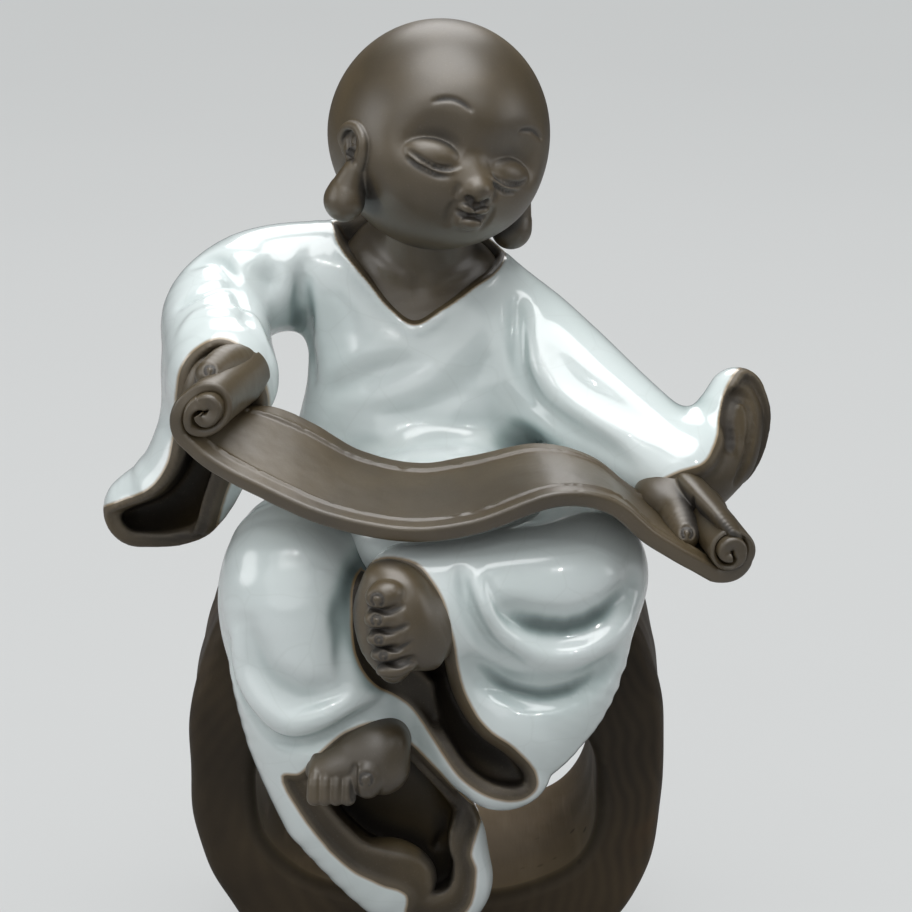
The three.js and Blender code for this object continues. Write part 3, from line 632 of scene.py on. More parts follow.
trunk = sweep([[-2, 3, 1, 15, 11], [-2, 2, 5, 23, 17], [-1, 0, 15, 22, 16.5], [0, -1, 26, 20.5, 15],
               [-1, 0, 36, 19, 13], [-2.5, 1.5, 45, 16, 11], [-3, 2.5, 50.5, 11, 8.5]], SIDEWAYS)
lap = ball((3, -24, 11), (20, 20, 12))
right_arm = sweep([[-10, 3, 45.5, 10, 10], [-20, 3, 46.5, 9, 9.2], [-29, 0, 45.5, 9, 9.2],
                   [-34.5, -6, 42, 9, 9], [-34.2, -15, 38, 9.4, 9], [-33, -22.5, 35, 9.8, 9.2]], UPRIGHT)
right_drape = sweep([[-35, -15, 31, 8, 9], [-36.5, -17, 22, 8.5, 9], [-41, -17, 14, 8.5, 9],
                     [-47.3, -16, 11, 6.2, 6.6]], SIDEWAYS)
left_arm = sweep([[5, 2.5, 42, 10, 9.5], [14, -1, 37.5, 10, 10], [22, -7, 31.5, 10, 10.2],
                  [30, -14, 25.5, 9.6, 10], [37, -19, 21, 9, 9.6], [42, -23, 18.5, 8.4, 9]], UPRIGHT)
left_flare = sweep([[43, -20, 18, 8, 8.5], [48, -18, 21, 7.8, 8], [50.5, -16, 26.5, 6.4, 6.8],
                    [51, -15, 30, 4.8, 5.4]], (1, 0, -0.4))
right_cuff = [(-40, 33), (-38.9, 38), (-36, 41.2), (-32.7, 42.4), (-29.2, 40.8), (-26.6, 37), (-25.4, 32),
              (-26.5, 27), (-31, 21), (-33.5, 14.5), (-36, 7.5), (-41.4, 3), (-47, 2), (-55, 4), (-57, 12),
              (-50, 15.4), (-45.3, 17.3), (-42.3, 21), (-41, 26)]
left_cuff = [(51.6, 36), (49.2, 32.8), (48, 28.5), (47.2, 24), (45, 20), (40.4, 18.2), (36, 15.6), (34, 12),
             (37, 6), (46, 4), (56, 8), (60, 20), (60, 30), (56, 36)]
collar = [(-15.4, 60), (-14.6, 54.4), (-9.5, 48.5), (-5.5, 44), (-2, 41.8), (2, 43.8), (7.5, 47.2),
          (12.4, 50.4), (14, 60)]

robe = Clay((-56, -46, -2), (58, 22, 60), 0.56)
for form, blend in ((trunk, 0), (lap, 5), (right_arm, 5), (right_drape, 4), (left_arm, 5), (left_flare, 4)):
    robe.add(form, blend)
# folds of the cloth, pressed in or, below zero, raised: the line in the front view, depth and width. The
# deeper presses also get painted shade along their valleys
for line, depth, width in (
        ([(-38.5, 50), (-35, 51.2), (-32.6, 49.8), (-30.4, 46.6), (-28.7, 43.6)], 1.1, 1.3),
        ([(-34, 52.5), (-29, 51), (-26.5, 47.5)], -0.8, 2.6),
        ([(-27.5, 49.6), (-25.2, 47.2)], 1.2, 2.2),
        ([(-24.8, 43), (-23, 47), (-21.8, 51)], -0.7, 2.2),
        ([(-21, 50), (-20.6, 44), (-20, 37), (-18.8, 30)], 1.8, 1.6),
        ([(-18.4, 49), (-18, 42), (-17.2, 35)], -0.5, 1.8),
        ([(-39.8, 42), (-37, 45), (-32.8, 45.8), (-28.6, 44.2), (-25.6, 40.6)], -0.9, 1.3),
        ([(-40.4, 45), (-36.4, 47.6), (-32, 47.6)], 0.9, 1.2),
        ([(-17.4, 31.1), (-11, 36.2), (-1.8, 39.2)], -0.75, 2.0),
        ([(-16.5, 28.6), (-9.5, 33), (-0.5, 36)], 0.8, 1.8),
        ([(-13.5, 27.7), (-4.3, 30.6), (3.9, 35.4), (9.9, 41.5)], -0.65, 2.2),
        ([(-8, 26.5), (3, 29.5), (11, 36)], 0.6, 2.0),
        ([(14.8, 45), (15.1, 40), (15.8, 34), (18.2, 29)], 1.6, 1.5),
        ([(17.6, 44), (18.2, 38), (20, 33)], -0.6, 2.0),
        ([(16.6, 33.5), (19, 29.6), (23.4, 26.6), (29, 24), (34, 21)], 0.9, 1.6),
        ([(17.6, 36.5), (21, 31.6), (26, 28.6), (32, 26)], -0.7, 2.0),
        ([(20.5, 38), (25, 33.5), (30.5, 30.6), (37, 27)], 0.9, 2.2),
        ([(14, 27), (19, 25.4), (25, 22.5)], -0.6, 2.0),
        ([(-16, 25.6), (-4.3, 23.4), (7.2, 22.8), (15.5, 24.6)], -0.5, 2.4),
        ([(-16, 53), (-9, 44.5), (-2, 38.8), (5, 42)], 0.4, 1.2)):
    robe.press(line, depth, width)
robe_skin = robe.copy()
robe_lips = (hollow_cuff(robe, union([(right_arm, 0), (right_drape, 4)]), right_cuff, -27, -19,
                         (1.6, 1.0, 0, 0), (2.8, None, 2.8, 1.4)),
             hollow_cuff(robe, union([(left_arm, 0), (left_flare, 4)]), left_cuff, -20, -16,
                         (1.5, 1.5, 0, 0)))
# the flared tip's inside: a furrow all round it and a lip beside the furrow
robe.press([(49.2, 24), (49.0, 28.6), (50.4, 31.2), (52.4, 30.2), (53.2, 26.8), (52.6, 22.4), (50.6, 18.6)],
           1.6, 0.8, fade=False)
robe.press([(50.1, 23.4), (50.0, 27.8), (50.9, 29.8), (52.0, 29), (52.3, 26.4), (51.7, 22.6), (49.9, 19)],
           -1.3, 0.6, fade=False)
opening = mouth(collar, -40, 3, 3, 0)
robe.cut(Form(opening.low, opening.high,
              lambda x, y, z: np.maximum(opening.distance(x, y, z), -trunk.distance(x, y, z) - 2.2)), 1.5)
robe.piece("robe", glaze_finish, "robe_body", "right_sleeve", "left_sleeve",
           attributes=lambda p: {"bare": bare_where(p, robe_skin, *robe_lips)})


# Trousers: two wide legs of the same glazed clay, each one open at its hem. The left leg is crossed
# over the right one, and its knee draws the cloth into swags.

right_leg = sweep([[-9, -6, 10, 11, 9], [-15, -20, 9, 12, 9], [-20.5, HANG + 2, 5, 12.4, 11],
                   [-19.5, HANG, -6, 12.6, 11.6], [-15.5, HANG, -18, 14.4, 11.6],
                   [-9.5, HANG, -30, 15.4, 11.6], [-2, HANG, -42, 12.5, 11],
                   [1.5, HANG, -46, 9.5, 9.5]], SIDEWAYS)
left_thigh = sweep([[10, -6, 10, 11, 9], [19, -20, 10, 12, 9.5], [24.5, HANG + 4, 5, 11.4, 11.6]],
                   SIDEWAYS)
left_shin = sweep([[24, HANG + 2, 3.5, 12, 11], [15, HANG - 2, 3, 11.6, 10], [5, HANG - 7, 2.4, 11.2, 9],
                   [-2.5, HANG - 8, 2.2, 11, 8.6]], UPRIGHT)
left_hang = sweep([[13, HANG - 4, 3, 16, 9], [15, HANG - 4, -7, 17.1, 9.4],
                   [13.4, HANG - 6, -14, 14.3, 8.6], [12, HANG - 8, -20, 10.8, 7.4],
                   [12.8, HANG - 9.5, -24.6, 7.4, 6]], SIDEWAYS)
between = sweep([[-7, HANG + 2, -2, 6, 8], [-2, HANG + 2, -12, 6.5, 8], [3.5, HANG + 1, -22, 5.5, 7]],
                SIDEWAYS)
right_hem = [(-22.9, -25.4), (-20.1, -25), (-17, -21.6), (-12.7, -17.9), (-7.2, -16.4), (-2.4, -19.9),
             (2.3, -24.8), (6.3, -29.6), (8.8, -32.6), (8, -36), (7.2, -39), (8, -42), (6.6, -48.6),
             (1, -51.5), (-3, -49.6), (-3, -45.6), (-7.6, -43.6), (-12.4, -41), (-18.8, -33.6)]
left_hem = [(-11.6, 3), (-10.8, 9.5), (-7, 12.3), (-1.5, 11.6), (2.4, 6.4), (4.3, -0.5), (6, -9.1),
            (9.5, -15.3), (14.3, -19), (17.3, -22.7), (17.6, -25.6), (15.4, -27.4), (10.3, -26.9),
            (5.5, -23.6), (0.8, -16.5), (-3, -11.5), (-8, -8.5), (-10.8, -4)]

trousers = Clay((-36, -58, -56), (40, 6, 23), 0.52)
trousers.add(right_leg).add(between, 4).add(left_thigh, 3).add(left_shin, 2).add(left_hang, 6)
# folds of the cloth as on the robe; the deep swags below the knee also get painted shade along their
# valleys, nearly black
for line, depth, width in (
        ([(12.5, 4.0), (17.5, 1.4), (23, 0.4), (28.6, 1.9), (33.8, 5.8)], 5.6, 2.3),
        ([(7.6, 9.6), (10.2, 4.2), (14.4, -1.2), (19.4, -3.8), (25.5, -3.4), (33.4, 0)], -2.0, 1.9),
        ([(5.6, 10.5), (7.2, 4.6), (10.6, -1.6), (15.5, -5)], 1.8, 1.3),
        ([(10, 9), (11.6, 5), (14.4, 1.8)], 1.0, 1.2),
        ([(6.6, -4.0), (12.0, -8.2), (18.2, -10), (23.5, -9.6), (30.4, -6.0)], 4.2, 1.9),
        ([(10, -11), (13.5, -15), (18, -18)], -1.0, 3.0),
        ([(-31.4, -3), (-30.6, -9), (-28.4, -14.5), (-25, -18.4), (-21.3, -19.6)], 1.4, 1.1),
        ([(-30.2, -2), (-29.4, -8.4), (-26.2, -13.3), (-21.6, -15.9), (-16.7, -14.6), (-12, -12.7),
          (-7.6, -11.2)], -2.2, 1.7),
        ([(-28.4, 1), (-25.6, -7.2), (-19.9, -10.6), (-13.5, -9.8)], 1.6, 2.4),
        ([(-24, -19.6), (-17, -18.6), (-10.6, -14.8), (-6.6, -13.6)], 1.8, 1.4),
        ([(-13.6, 4), (-13.6, -2.9), (-13.8, -9)], 1.3, 1.9),
        ([(-14.6, 0), (-15, -4.5), (-14.8, -9)], -0.5, 1.2),
        ([(-33, 6), (-33, -1), (-32, -8)], -0.5, 1.6),
        ([(-13, 13.6), (-11, 15), (-8.6, 14)], 0.7, 1.4)):
    trousers.press(line, depth, width)
trousers_skin = trousers.copy()
trouser_lips = (hollow_cuff(trousers, union([(right_leg, 0)]), right_hem, HANG - 9, HANG - 3,
                            (0.9, 1.0, 0, 0), (3.6, None, 3.0, 2.0)),
                hollow_cuff(trousers, union([(left_shin, 0), (left_hang, 6)]), left_hem,
                            HANG - 14, HANG - 7, (0.9, 1.0, 0, 0), (1.9, None, 2.4, 0.3)))
# the back of the hanging cuff shows inside it, with a slab of cloth that is folded up
trousers.add(ball((-4.4, HANG - 6, -42), (6.4, 3.4, 5.2), (0.5, 0.55, 0)), 2.5)
trousers.press([(2.8, -40.5), (1.8, -42.6), (0.4, -43.4)], 1.0, 0.6)
trousers.piece("trousers", glaze_finish, "right_trouser_leg", "left_trouser_leg",
               attributes=lambda p: {"bare": bare_where(p, trousers_skin, *trouser_lips)})


# Neck and chest: bare clay in the open collar, a little lower than the glaze, with the hollow above
# the breastbone.

chest = Clay((-18, -20, 34), (18, 12, 66), 0.42)
chest.add(Form(opening.low - 2, opening.high + 2,
               lambda x, y, z: np.maximum(trunk.distance(x, y, z) + 1.0, opening.distance(x, y, z) - 1.5)))
chest.add(rod([(-2, 0, 43), (-0.5, -2, 52), (1, -4, 60)], (8, 7.8, 7.4)), 2.5)
chest.press([(-1.5, 49), (-1.2, 46.5)], 0.6, 1.6).press([(-1.5, 48), (-6, 49.6), (-10.5, 52.5)], -0.45, 1.1)
chest.press([(-1, 48), (4, 48.8), (9, 50.6)], -0.45, 1.1)
chest.piece("neck_and_chest_clay", clay_finish, "neck_and_chest")


# Head: a hollow ball of dark clay, pressed in a two-part mould, burnished smooth, then finished with
# a modelling tool: lids, lips, nostrils and the cut lines of brows and eyelashes.

HEAD_HALF_WIDTH, HEAD_HALF_HEIGHT = 18, 18.9
FACE_REACH, SKULL_REACH = 18.4, 20.4  # from the middle of the skull to the brow, and to the back
# cheeks, chin, upper lip, sockets, bridge of the nose and forehead: degrees to the left and up, how
# far it spreads in degrees, and how far it stands out
SWELLINGS = ((36, -32, 24, 1.3), (-36, -32, 24, 1.3), (0, -48, 20, 1.4), (0, -28, 17, 0.9),
             (24, -5, 12, -1.5), (-24, -5, 12, -1.5), (0, -6, 10, -0.9), (0, 22, 26, 0.5))


def skull_distance(x, y, z):
    r = np.sqrt(x * x + y * y + z * z) + 1e-6
    ux, uy, uz = x / r, y / r, z / r
    jaw = np.where(uz < 0, 1 - 0.1 * uz * uz, 1)
    reach = np.where(uy < 0, FACE_REACH, SKULL_REACH)
    surface = 1 / np.sqrt((ux / (HEAD_HALF_WIDTH * jaw)) ** 2 + (uy / reach) ** 2
                          + (uz / HEAD_HALF_HEIGHT) ** 2)
    for side, up, spread, rise in SWELLINGS:
        a, b = math.radians(side), math.radians(up)
        close = ux * math.cos(b) * math.sin(a) - uy * math.cos(b) * math.cos(a) + uz * math.sin(b)
        surface = surface + rise * np.exp(-((np.degrees(np.arccos(np.clip(close, -1, 1))) / spread) ** 2))
    return r - surface


head = Clay((-22, -22.5, -20.5), (22, 22.5, 20.5), 0.275)
head.add(Form((-22, -23, -21), (22, 23, 21), skull_distance))
# sockets, and the round lids in them. Under each lid runs a thin lower lid between two cut lines
head.press([(-0.4, -0.6)], 1.0, 3.2)
for eye, turn, line in (
        ((-7.2, -13.6, -3.3), -0.42,
         [(-11.5, -3.0), (-10.0, -3.9), (-8.5, -4.5), (-6.9, -4.9), (-5.2, -4.8), (-3.6, -4.0)]),
        ((5.8, -13.9, -4.3), 0.38,
         [(1.6, -4.5), (3.2, -5.2), (5.2, -5.7), (7.4, -5.5), (9.6, -4.6)])):
    x, y, z = eye
    head.press([(x - 5.4, z + 2.4), (x - 0.8, z + 4.8), (x + 5, z + 2.8)], 0.9, 2.8)
    head.press([(x - 5, z + 0.8), (x - 0.8, z + 2.4), (x + 4.8, z + 0.8)], 1.2, 1.9)
    head.add(ball(eye, (5.2, 3.2, 2.9), (0, 0.06, turn)), 0.25)
    lower = [head.front(x, z - 0.6) for x, z in line]
    head.add(rod([p + (0, 0.15, 0) for p in lower], [0.3] + [0.55] * (len(line) - 2) + [0.3]), 0.15)
    head.press(line, 1.1, 0.32)
    head.press([(x, z - 1.25) for x, z in line[:-1]], 1.1, 0.36)
# brows
head.press([(-9.3, 5.1), (-7.9, 5.8), (-6.4, 6.1), (-4.9, 5.7), (-3.3, 4.8)], 0.8, 0.36)
head.press([(5.8, 2.9), (7.3, 3.3), (8.8, 3.4), (10.3, 3.0), (11.6, 2.3)], 0.9, 0.38)
# nose
head.add(rod([(-0.2, -14.8, -3.2), (-0.2, -16.2, -5.4), (-0.2, -17.6, -7.1)], (1.4, 1.8, 2.0)), 2.4)
head.add(ball((-0.2, -18.4, -7.4), (2.2, 2.0, 1.8)), 0.7)
for wing in (-2.2, 1.8):
    head.add(ball((wing, -17.2, -8.1), (1.2, 1.4, 1.05)), 0.4)
for nostril in (-1.5, 1.1):
    head.press([(nostril, -19.2, -9.2), (nostril, -18.4, -8.8)], 1.3, 0.48, fade=False)
head.press([(-3.7, -8.9), (-3.5, -7.0)], 0.5, 0.5).press([(3.3, -8.7), (3.1, -6.9)], 0.5, 0.5)
# lips: small and pursed, the upper one with two peaks
head.add(ball((0.0, -15.7, -11.8), (2.9, 2.1, 2.7)), 0.8)
head.press([(-3.4, -9.8), (-3.5, -11.8), (-3.0, -13.8)], 0.6, 0.7)
head.press([(3.4, -9.6), (3.5, -11.6), (3.0, -13.6)], 0.6, 0.7)
head.add(ball((-1.2, -17.6, -10.65), (1.55, 1.35, 0.8), (0, 0.30, 0)), 0.2)
head.add(ball((1.1, -17.6, -10.55), (1.55, 1.35, 0.8), (0, -0.30, 0)), 0.2)
head.add(ball((0.0, -17.3, -12.75), (1.9, 1.6, 1.05)), 0.2)
head.press([(-0.1, -9.6), (-0.1, -10.2)], 0.5, 0.5)
head.press([(-2.9, -11.2), (-1.5, -11.45), (0, -11.85), (1.4, -11.45), (2.9, -11.0)], 1.2, 0.36)
head.press([(-2.8, -11.2)], 0.6, 0.5).press([(2.8, -11.0)], 0.6, 0.5)
head.press([(-1.6, -14.1), (0, -14.5), (1.6, -14.1)], 0.9, 0.6)
# ears: a rim round a dark hollow, with the long heavy lobe of a monk. The left one is set further back
for side, drop, back in ((-1, 0, 0), (1, 0.4, 4.4)):
    def ear(x, y, z):
        return side * x, y + back, z - drop

    rim = [ear(*p) for p in (
        (16.9, -1.6, -5.0), (17.8, -1.6, -3.0), (17.8, -3.4, -1.3), (17.2, -5.8, -1.2),
        (16.7, -7.5, -2.8), (16.3, -7.6, -4.9), (16.0, -6.8, -6.8), (16.1, -5.8, -7.6))]
    head.add(ball(ear(16.0, -4.5, -4.6), (1.5, 3.1, 3.8)), 0.7)
    head.add(rod(rim, (0.6, 0.8, 0.95, 0.95, 0.9, 0.85, 0.8, 0.6)), 0.3)
    head.press([ear(17.6, -4.4, -3.0), ear(17.3, -4.8, -4.4)], 3.6, 0.85, fade=False)
    head.press([ear(17.1, -4.4, -5.6), ear(16.9, -5.2, -6.8)], 3.0, 0.7, fade=False)
    head.add(ball(ear(16.4, -3.7, -13.0), (3.3, 3.7, 3.5), (0, side * 0.2, 0)), 0.4)
    head.add(rod([ear(16.2, -5.0, -8.2), ear(16.4, -4.2, -10.8)], (2.0, 2.7)), 0.9)
HEAD_TURN, HEAD_PLACE = (-4, 13, 24), (2.2, -6, 72)  # degrees about X, Y and Z, and above the seat
turned = Euler([math.radians(a) for a in HEAD_TURN], "XYZ").to_matrix().to_4x4()
turned.translation = HEAD_PLACE
head.piece("head_clay", clay_finish, "head", place=turned)


# Hands: bare clay. Each is little more than a palm, a thumb with a pressed nail, and the fingers that
# go under the roll.

def nail(clay, middle, facing, size, gap=0.8):
    """The mark that the end of a small tube leaves when it is pressed in for a nail, open below."""
    facing = np.array(facing) / np.linalg.norm(facing)
    side = np.cross(facing, UPRIGHT)
    up = np.cross(side, facing)
    turn = np.linspace(gap - math.pi, math.pi - gap, 9)[:, None]
    ring = np.array(middle) + size * (side * np.sin(turn) + up * np.cos(turn))
    for _ in range(4):
        ring = ring - facing * clay.at(ring)[:, None]
    clay.press(ring, 1.0, 0.28, fade=False)


# the right hand: palm, wrist, fingers under the roll, and the thumb on it
grip = Clay((-42, -40, 27), (-23, -12, 46), 0.16)
grip.add(ball((-32.6, -23.6, 35.8), (6.6, 6.2, 5.8)))
grip.add(rod([(-33.8, -16, 37), (-33.4, -24, 36)], (5, 5)), 1)
grip.add(ball((-36.4, -26.8, 35.2), (3.0, 4.2, 5.6), (0, 0.28, 0)), 0.3)
grip.add(rod([(-29.6, -26, 38.2), (-32.0, -31.4, 39.2), (-34.0, -35.4, 38.6)], (3.6, 3.0, 2.5)), 0.25)
nail(grip, (-34.0, -37.4, 39.8), (-0.1, -0.75, 0.6), 1.0)
grip.piece("right_hand_clay", clay_finish, "right_hand")

# the left hand: palm, wrist, the thumb, and the fingers laid over the roll
hold = Clay((31, -45, 6), (55, -17, 26), 0.16)
hold.add(ball((41.4, -28.6, 15.6), (8.0, 6.4, 4.4), (0, 0.35, 0)))
hold.add(rod([(38, -20, 20), (40, -28, 17)], (4.6, 4.6)), 1)
hold.add(rod([(39.8, -31, 16.0), (40.7, -35.6, 14.8), (41.6, -38.6, 13.0)], (3.1, 2.8, 2.2)), 0.8)
hold.add(sweep([[42.4, -26, 18.4, 4.2, 2.3], [43.8, -31, 17.8, 4.4, 2.2], [45.7, -36, 16.8, 4.2, 1.9],
                [47.9, -40.6, 15.4, 3.5, 1.6], [49.3, -42.8, 14.2, 2.2, 1.1]], (1, 0, -1)), 0.5)
hold.press([(42.8, 19.0), (43.2, 16.6), (43.8, 13.6)], 0.8, 0.45)
nail(hold, (41.6, -40.8, 14.2), (-0.1, -0.85, 0.5), 1.0)
hold.piece("left_hand_clay", clay_finish, "left_hand")


# Feet: bare clay, each with five round toes, creased between and pressed with a nail.

# the right foot, toes down: ankle, instep, heel, ball of the foot, big toe, then the four small ones
lower_foot = Clay((-21, -55, -32), (2, -36, -14), 0.2)
lower_foot.add(sweep([[-7, HANG - 3, -19.6, 5.6, 5], [-9, HANG - 9.4, -21, 6.8, 4.4]], (1, 0, 0.4)))
lower_foot.add(ball((-10.4, -46.2, -21.0), (7.8, 4.8, 3.5), (0.5, -0.45, 0)), 1.5)
lower_foot.add(ball((-6.9, -46.6, -22.8), (4.5, 4.6, 4.9)), 1.5)
lower_foot.add(ball((-15, -47.4, -23), (4.2, 3.2, 2.5), (0.3, -0.2, 0)), 1.5)
lower_foot.add(ball((-9.2, -49.6, -23.9), (2.8, 3.0, 3.4)), 0.4)
for x in (-12.3, -14.15, -15.95, -17.6):
    toe = rod([(x + 0.5, -46.8, -21.8), (x + 0.1, -49.9, -24.4), (x, -50.5, -27.0)], (1.2, 1.25, 1.3))
    lower_foot.add(toe, 0.25)
lower_foot.press([(-11.1, -21.4), (-11.2, -24), (-11.4, -27.4)], 1.0, 0.5)
nail(lower_foot, (-9.4, -52.4, -23.3), (-0.1, -0.95, 0.3), 1.05)
lower_foot.piece("right_foot_clay", clay_finish, "right_foot")

# the left foot, on its side with its sole to the front: ankle, sole, ball of the foot, then five toes
upper_foot = Clay((-12, -60, -9), (8, -42, 14), 0.2)
upper_foot.add(sweep([[2, HANG - 9, 2.5, 7, 5], [-1.4, HANG - 14, 2.6, 5.0, 8.4]], (1, 0, 0.4)))
upper_foot.add(ball((-3.2, -50.6, 3.2), (5.6, 6.6, 8.4), (0, -0.22, 0)), 1.5)
upper_foot.add(rod([(-6.4, -49.6, 8.6), (-7.9, -49.6, 4), (-7.2, -49.6, -1.5), (-5.0, -49.6, -5.6)],
                   (3.4, 3.4, 3.1, 2.4)), 2.5)
for x, z, r in ((-6.9, 7.9, 2.3), (-7.1, 4.4, 1.8), (-6.7, 1.3, 1.6), (-6.1, -1.3, 1.4), (-5.3, -3.9, 1.5)):
    upper_foot.add(ball((x + 0.9, -54.7, z + 0.2), (3.3, 2.5, r), (0, -0.2, 0.12)), 0.5)
for line in ([(-8.9, 6.2), (-5.9, 5.9), (-3.0, 6.9)], [(-8.6, 2.9), (-5.4, 2.8), (-2.2, 4.0)],
             [(-8, -0.1), (-4.6, -0.2), (-1.6, 1.2)], [(-7.4, -2.7), (-4.2, -2.8), (-1.4, -1.6)]):
    upper_foot.press(line, 0.8, 0.42)
nail(upper_foot, (-7.6, -57.4, 8.0), (-0.3, -0.9, 0.2), 1.0)
for middle, size in (((-7.7, -57.2, 4.7), 0.75), ((-7.2, -57.0, 1.4), 0.5), ((-6.5, -57.0, -1.2), 0.5)):
    nail(upper_foot, middle, (-0.35, -0.9, 0.1), size)
upper_foot.press([(-5, 10.5), (-2.5, 8), (-1.2, 4), (-1.6, 0)], 0.35, 1.2)
upper_foot.piece("left_foot_clay", clay_finish, "left_foot")


# Scroll: one sheet of bare clay, cut from a slab, with a thin line raised along each long edge. It is
# draped from hand to hand over the lap, and each end is rolled up tight on itself.

NEAR_EDGE = [(-38.8, -41, 29.7), (-34.5, -41.9, 25.8), (-25.9, -45.1, 21.9), (-15, -49, 18.3),
             (-2, -51, 16.5), (7.7, -50.7, 17.6), (21, -49.4, 21.8), (29.3, -47.5, 20.2),
             (35.8, -45.6, 14.4), (46, -43.3, 7.7)]
FAR_EDGE = [(-28.5, -27, 30.5), (-24.5, -27.5, 30.6), (-18.5, -28.3, 28.2), (-10.6, -29.2, 23.7),
            (-1.2, -29.9, 21.7), (7.2, -30, 22.9), (18, -30, 24.9), (25.5, -29.9, 23.1),
            (31.5, -29.2, 18.4), (40.2, -28, 11.8)]
SHEET = 2.7  # thickness of the slab
# of each roll, above the sheet: half its height, its width to its height, and the thickness of the
# slab in its outer turn and inner turn, in shares of the flat slab's
ROLLS = ((4.75, 0.82, 0.62, 1.04), (3.6, 1.0, 0.38, 0.86))
ROLL_TURNS, ROLL_ROWS = 2.08, 130  # how often each end is wound, and how many rows of points that takes


def rail(edge, outwards):
    """The middle of the slab along one long edge, from inside one roll to inside the other, with its
    thickness at each point. The rolls' ends are domed, outwards being 1 or -1 along Y."""
    open_part = curve(edge, 20)
    line = [np.column_stack([open_part, np.full(len(open_part), SHEET)])]
    for end, (half, oval, wrap, core) in enumerate(ROLLS):
        tip, before = (open_part[0], open_part[1]) if end == 0 else (open_part[-1], open_part[-2])
        along = (tip - before) * (1, 0, 1)
        along /= np.linalg.norm(along)
        rise = np.array([-along[2], 0, along[0]]) * (1 if along[0] > 0 else -1)
        middle = tip + rise * (half + SHEET / 2)
        turns = np.linspace(0, ROLL_TURNS, ROLL_ROWS + 1)[1:]
        stops = (0, 0.12, 0.25, 0.5, 1.0, 1.12, 1.3, 1.6, 1.9, ROLL_TURNS)
        shares = [1, 0.92, (1 + wrap) / 2, wrap, wrap, wrap, core, core, core * 0.92, core * 0.6]
        thick = np.interp(turns, stops, np.array(shares) * SHEET)
        inner = half - wrap * SHEET - 0.05
        reaches = [half + SHEET, half + 0.62 * SHEET, half + 0.16 * SHEET, half, half - 0.1,
                   (half + inner) / 2, inner, inner - 0.1, inner - 0.3, inner - 0.9]
        outside = np.interp(turns, stops, reaches)
        r, angle = outside - thick / 2, 2 * math.pi * turns[:, None]
        spiral = middle + r[:, None] * (oval * along * np.sin(angle) - rise * np.cos(angle))
        spiral[:, 1] += outwards * np.interp(turns, (0, 0.5, 1.2, ROLL_TURNS), (0, 0.3, 1.3, 1.9))
        rolled = np.column_stack([spiral, thick])
        line = [rolled[::-1], *line] if end == 0 else [*line, rolled]
    return np.vstack(line)


def scroll_sheet():
    """The rails and their thicknesses, as a mesh of points for the node tree."""
    near, far = rail(NEAR_EDGE, -1), rail(FAR_EDGE, 1)
    both = np.vstack([near, far])
    mesh = bpy.data.meshes.new("scroll_rails")
    mesh.from_pydata((both[:, :3] + (0, 0, SEAT)) * MM, [], [])
    mesh.attributes.new("thickness", "FLOAT", "POINT").data.foreach_set("value", both[:, 3] * MM)
    return mesh, len(near)


def group(name, **inputs):
    """A Geometry Nodes tree with a mesh going in and out, and one named input for each number."""
    made = bpy.data.node_groups.new(name, "GeometryNodeTree")
    made.interface.new_socket("Geometry", in_out="INPUT", socket_type="NodeSocketGeometry")
    for key, value in inputs.items():
        kind = "NodeSocketInt" if isinstance(value, int) else "NodeSocketFloat"
        socket = made.interface.new_socket(key.replace("_", " "), in_out="INPUT", socket_type=kind)
        socket.default_value = value
    made.interface.new_socket("Geometry", in_out="OUTPUT", socket_type="NodeSocketGeometry")
    tree = Tree(made)
    start = made.nodes.new("NodeGroupInput")
    end = made.nodes.new("NodeGroupOutput")
    wires = {s.name: Wire(tree, s) for s in start.outputs if s.name}
    return made, tree, wires, end


def grown(name, mesh, made):
    """The plain mesh that a Geometry Nodes tree makes out of mesh."""
    source = bpy.data.objects.new(name, mesh)
    scene.collection.objects.link(source)
    source.modifiers.new("grow", "NODES").node_group = made
    seen = source.evaluated_get(bpy.context.evaluated_depsgraph_get())
    source_mesh = bpy.data.meshes.new_from_object(seen)
    source.modifiers.clear()
    source.data = source_mesh
    source_mesh.polygons.foreach_set("use_smooth", np.ones(len(source_mesh.polygons), bool))
    return source


rails, rail_points = scroll_sheet()
scroll_tree, tree, given, end = group(
    "clay_scroll", Length_points=rail_points, Round_points=200, Edge_radius=0.7 * MM, Border_inset=2.9 * MM,
    Border_width=0.34 * MM, Border_height=0.36 * MM, Wear=0.10 * MM, Seed=7)


def on_rail(index, far, kind="FLOAT_VECTOR", value=None):
    """What a rail holds at a row: its place, or another value."""
    value = value or tree.node("GeometryNodeInputPosition")
    index = maths("MAXIMUM", maths("MINIMUM", index, last), 0.0)
    index = index + given["Length points"] if far else index
    return tree.node("GeometryNodeSampleIndex", {"data_type": kind, "domain": "POINT"},
                     {"Geometry": given["Geometry"], "Value": value, "Index": index})


def stored(geometry, name, value):
    """The mesh with a number at each point, under a name that the clay's finish reads."""
    return tree.node("GeometryNodeStoreNamedAttribute", {"data_type": "FLOAT", "domain": "POINT"},
                     {"Geometry": geometry, "Name": name, "Value": value})


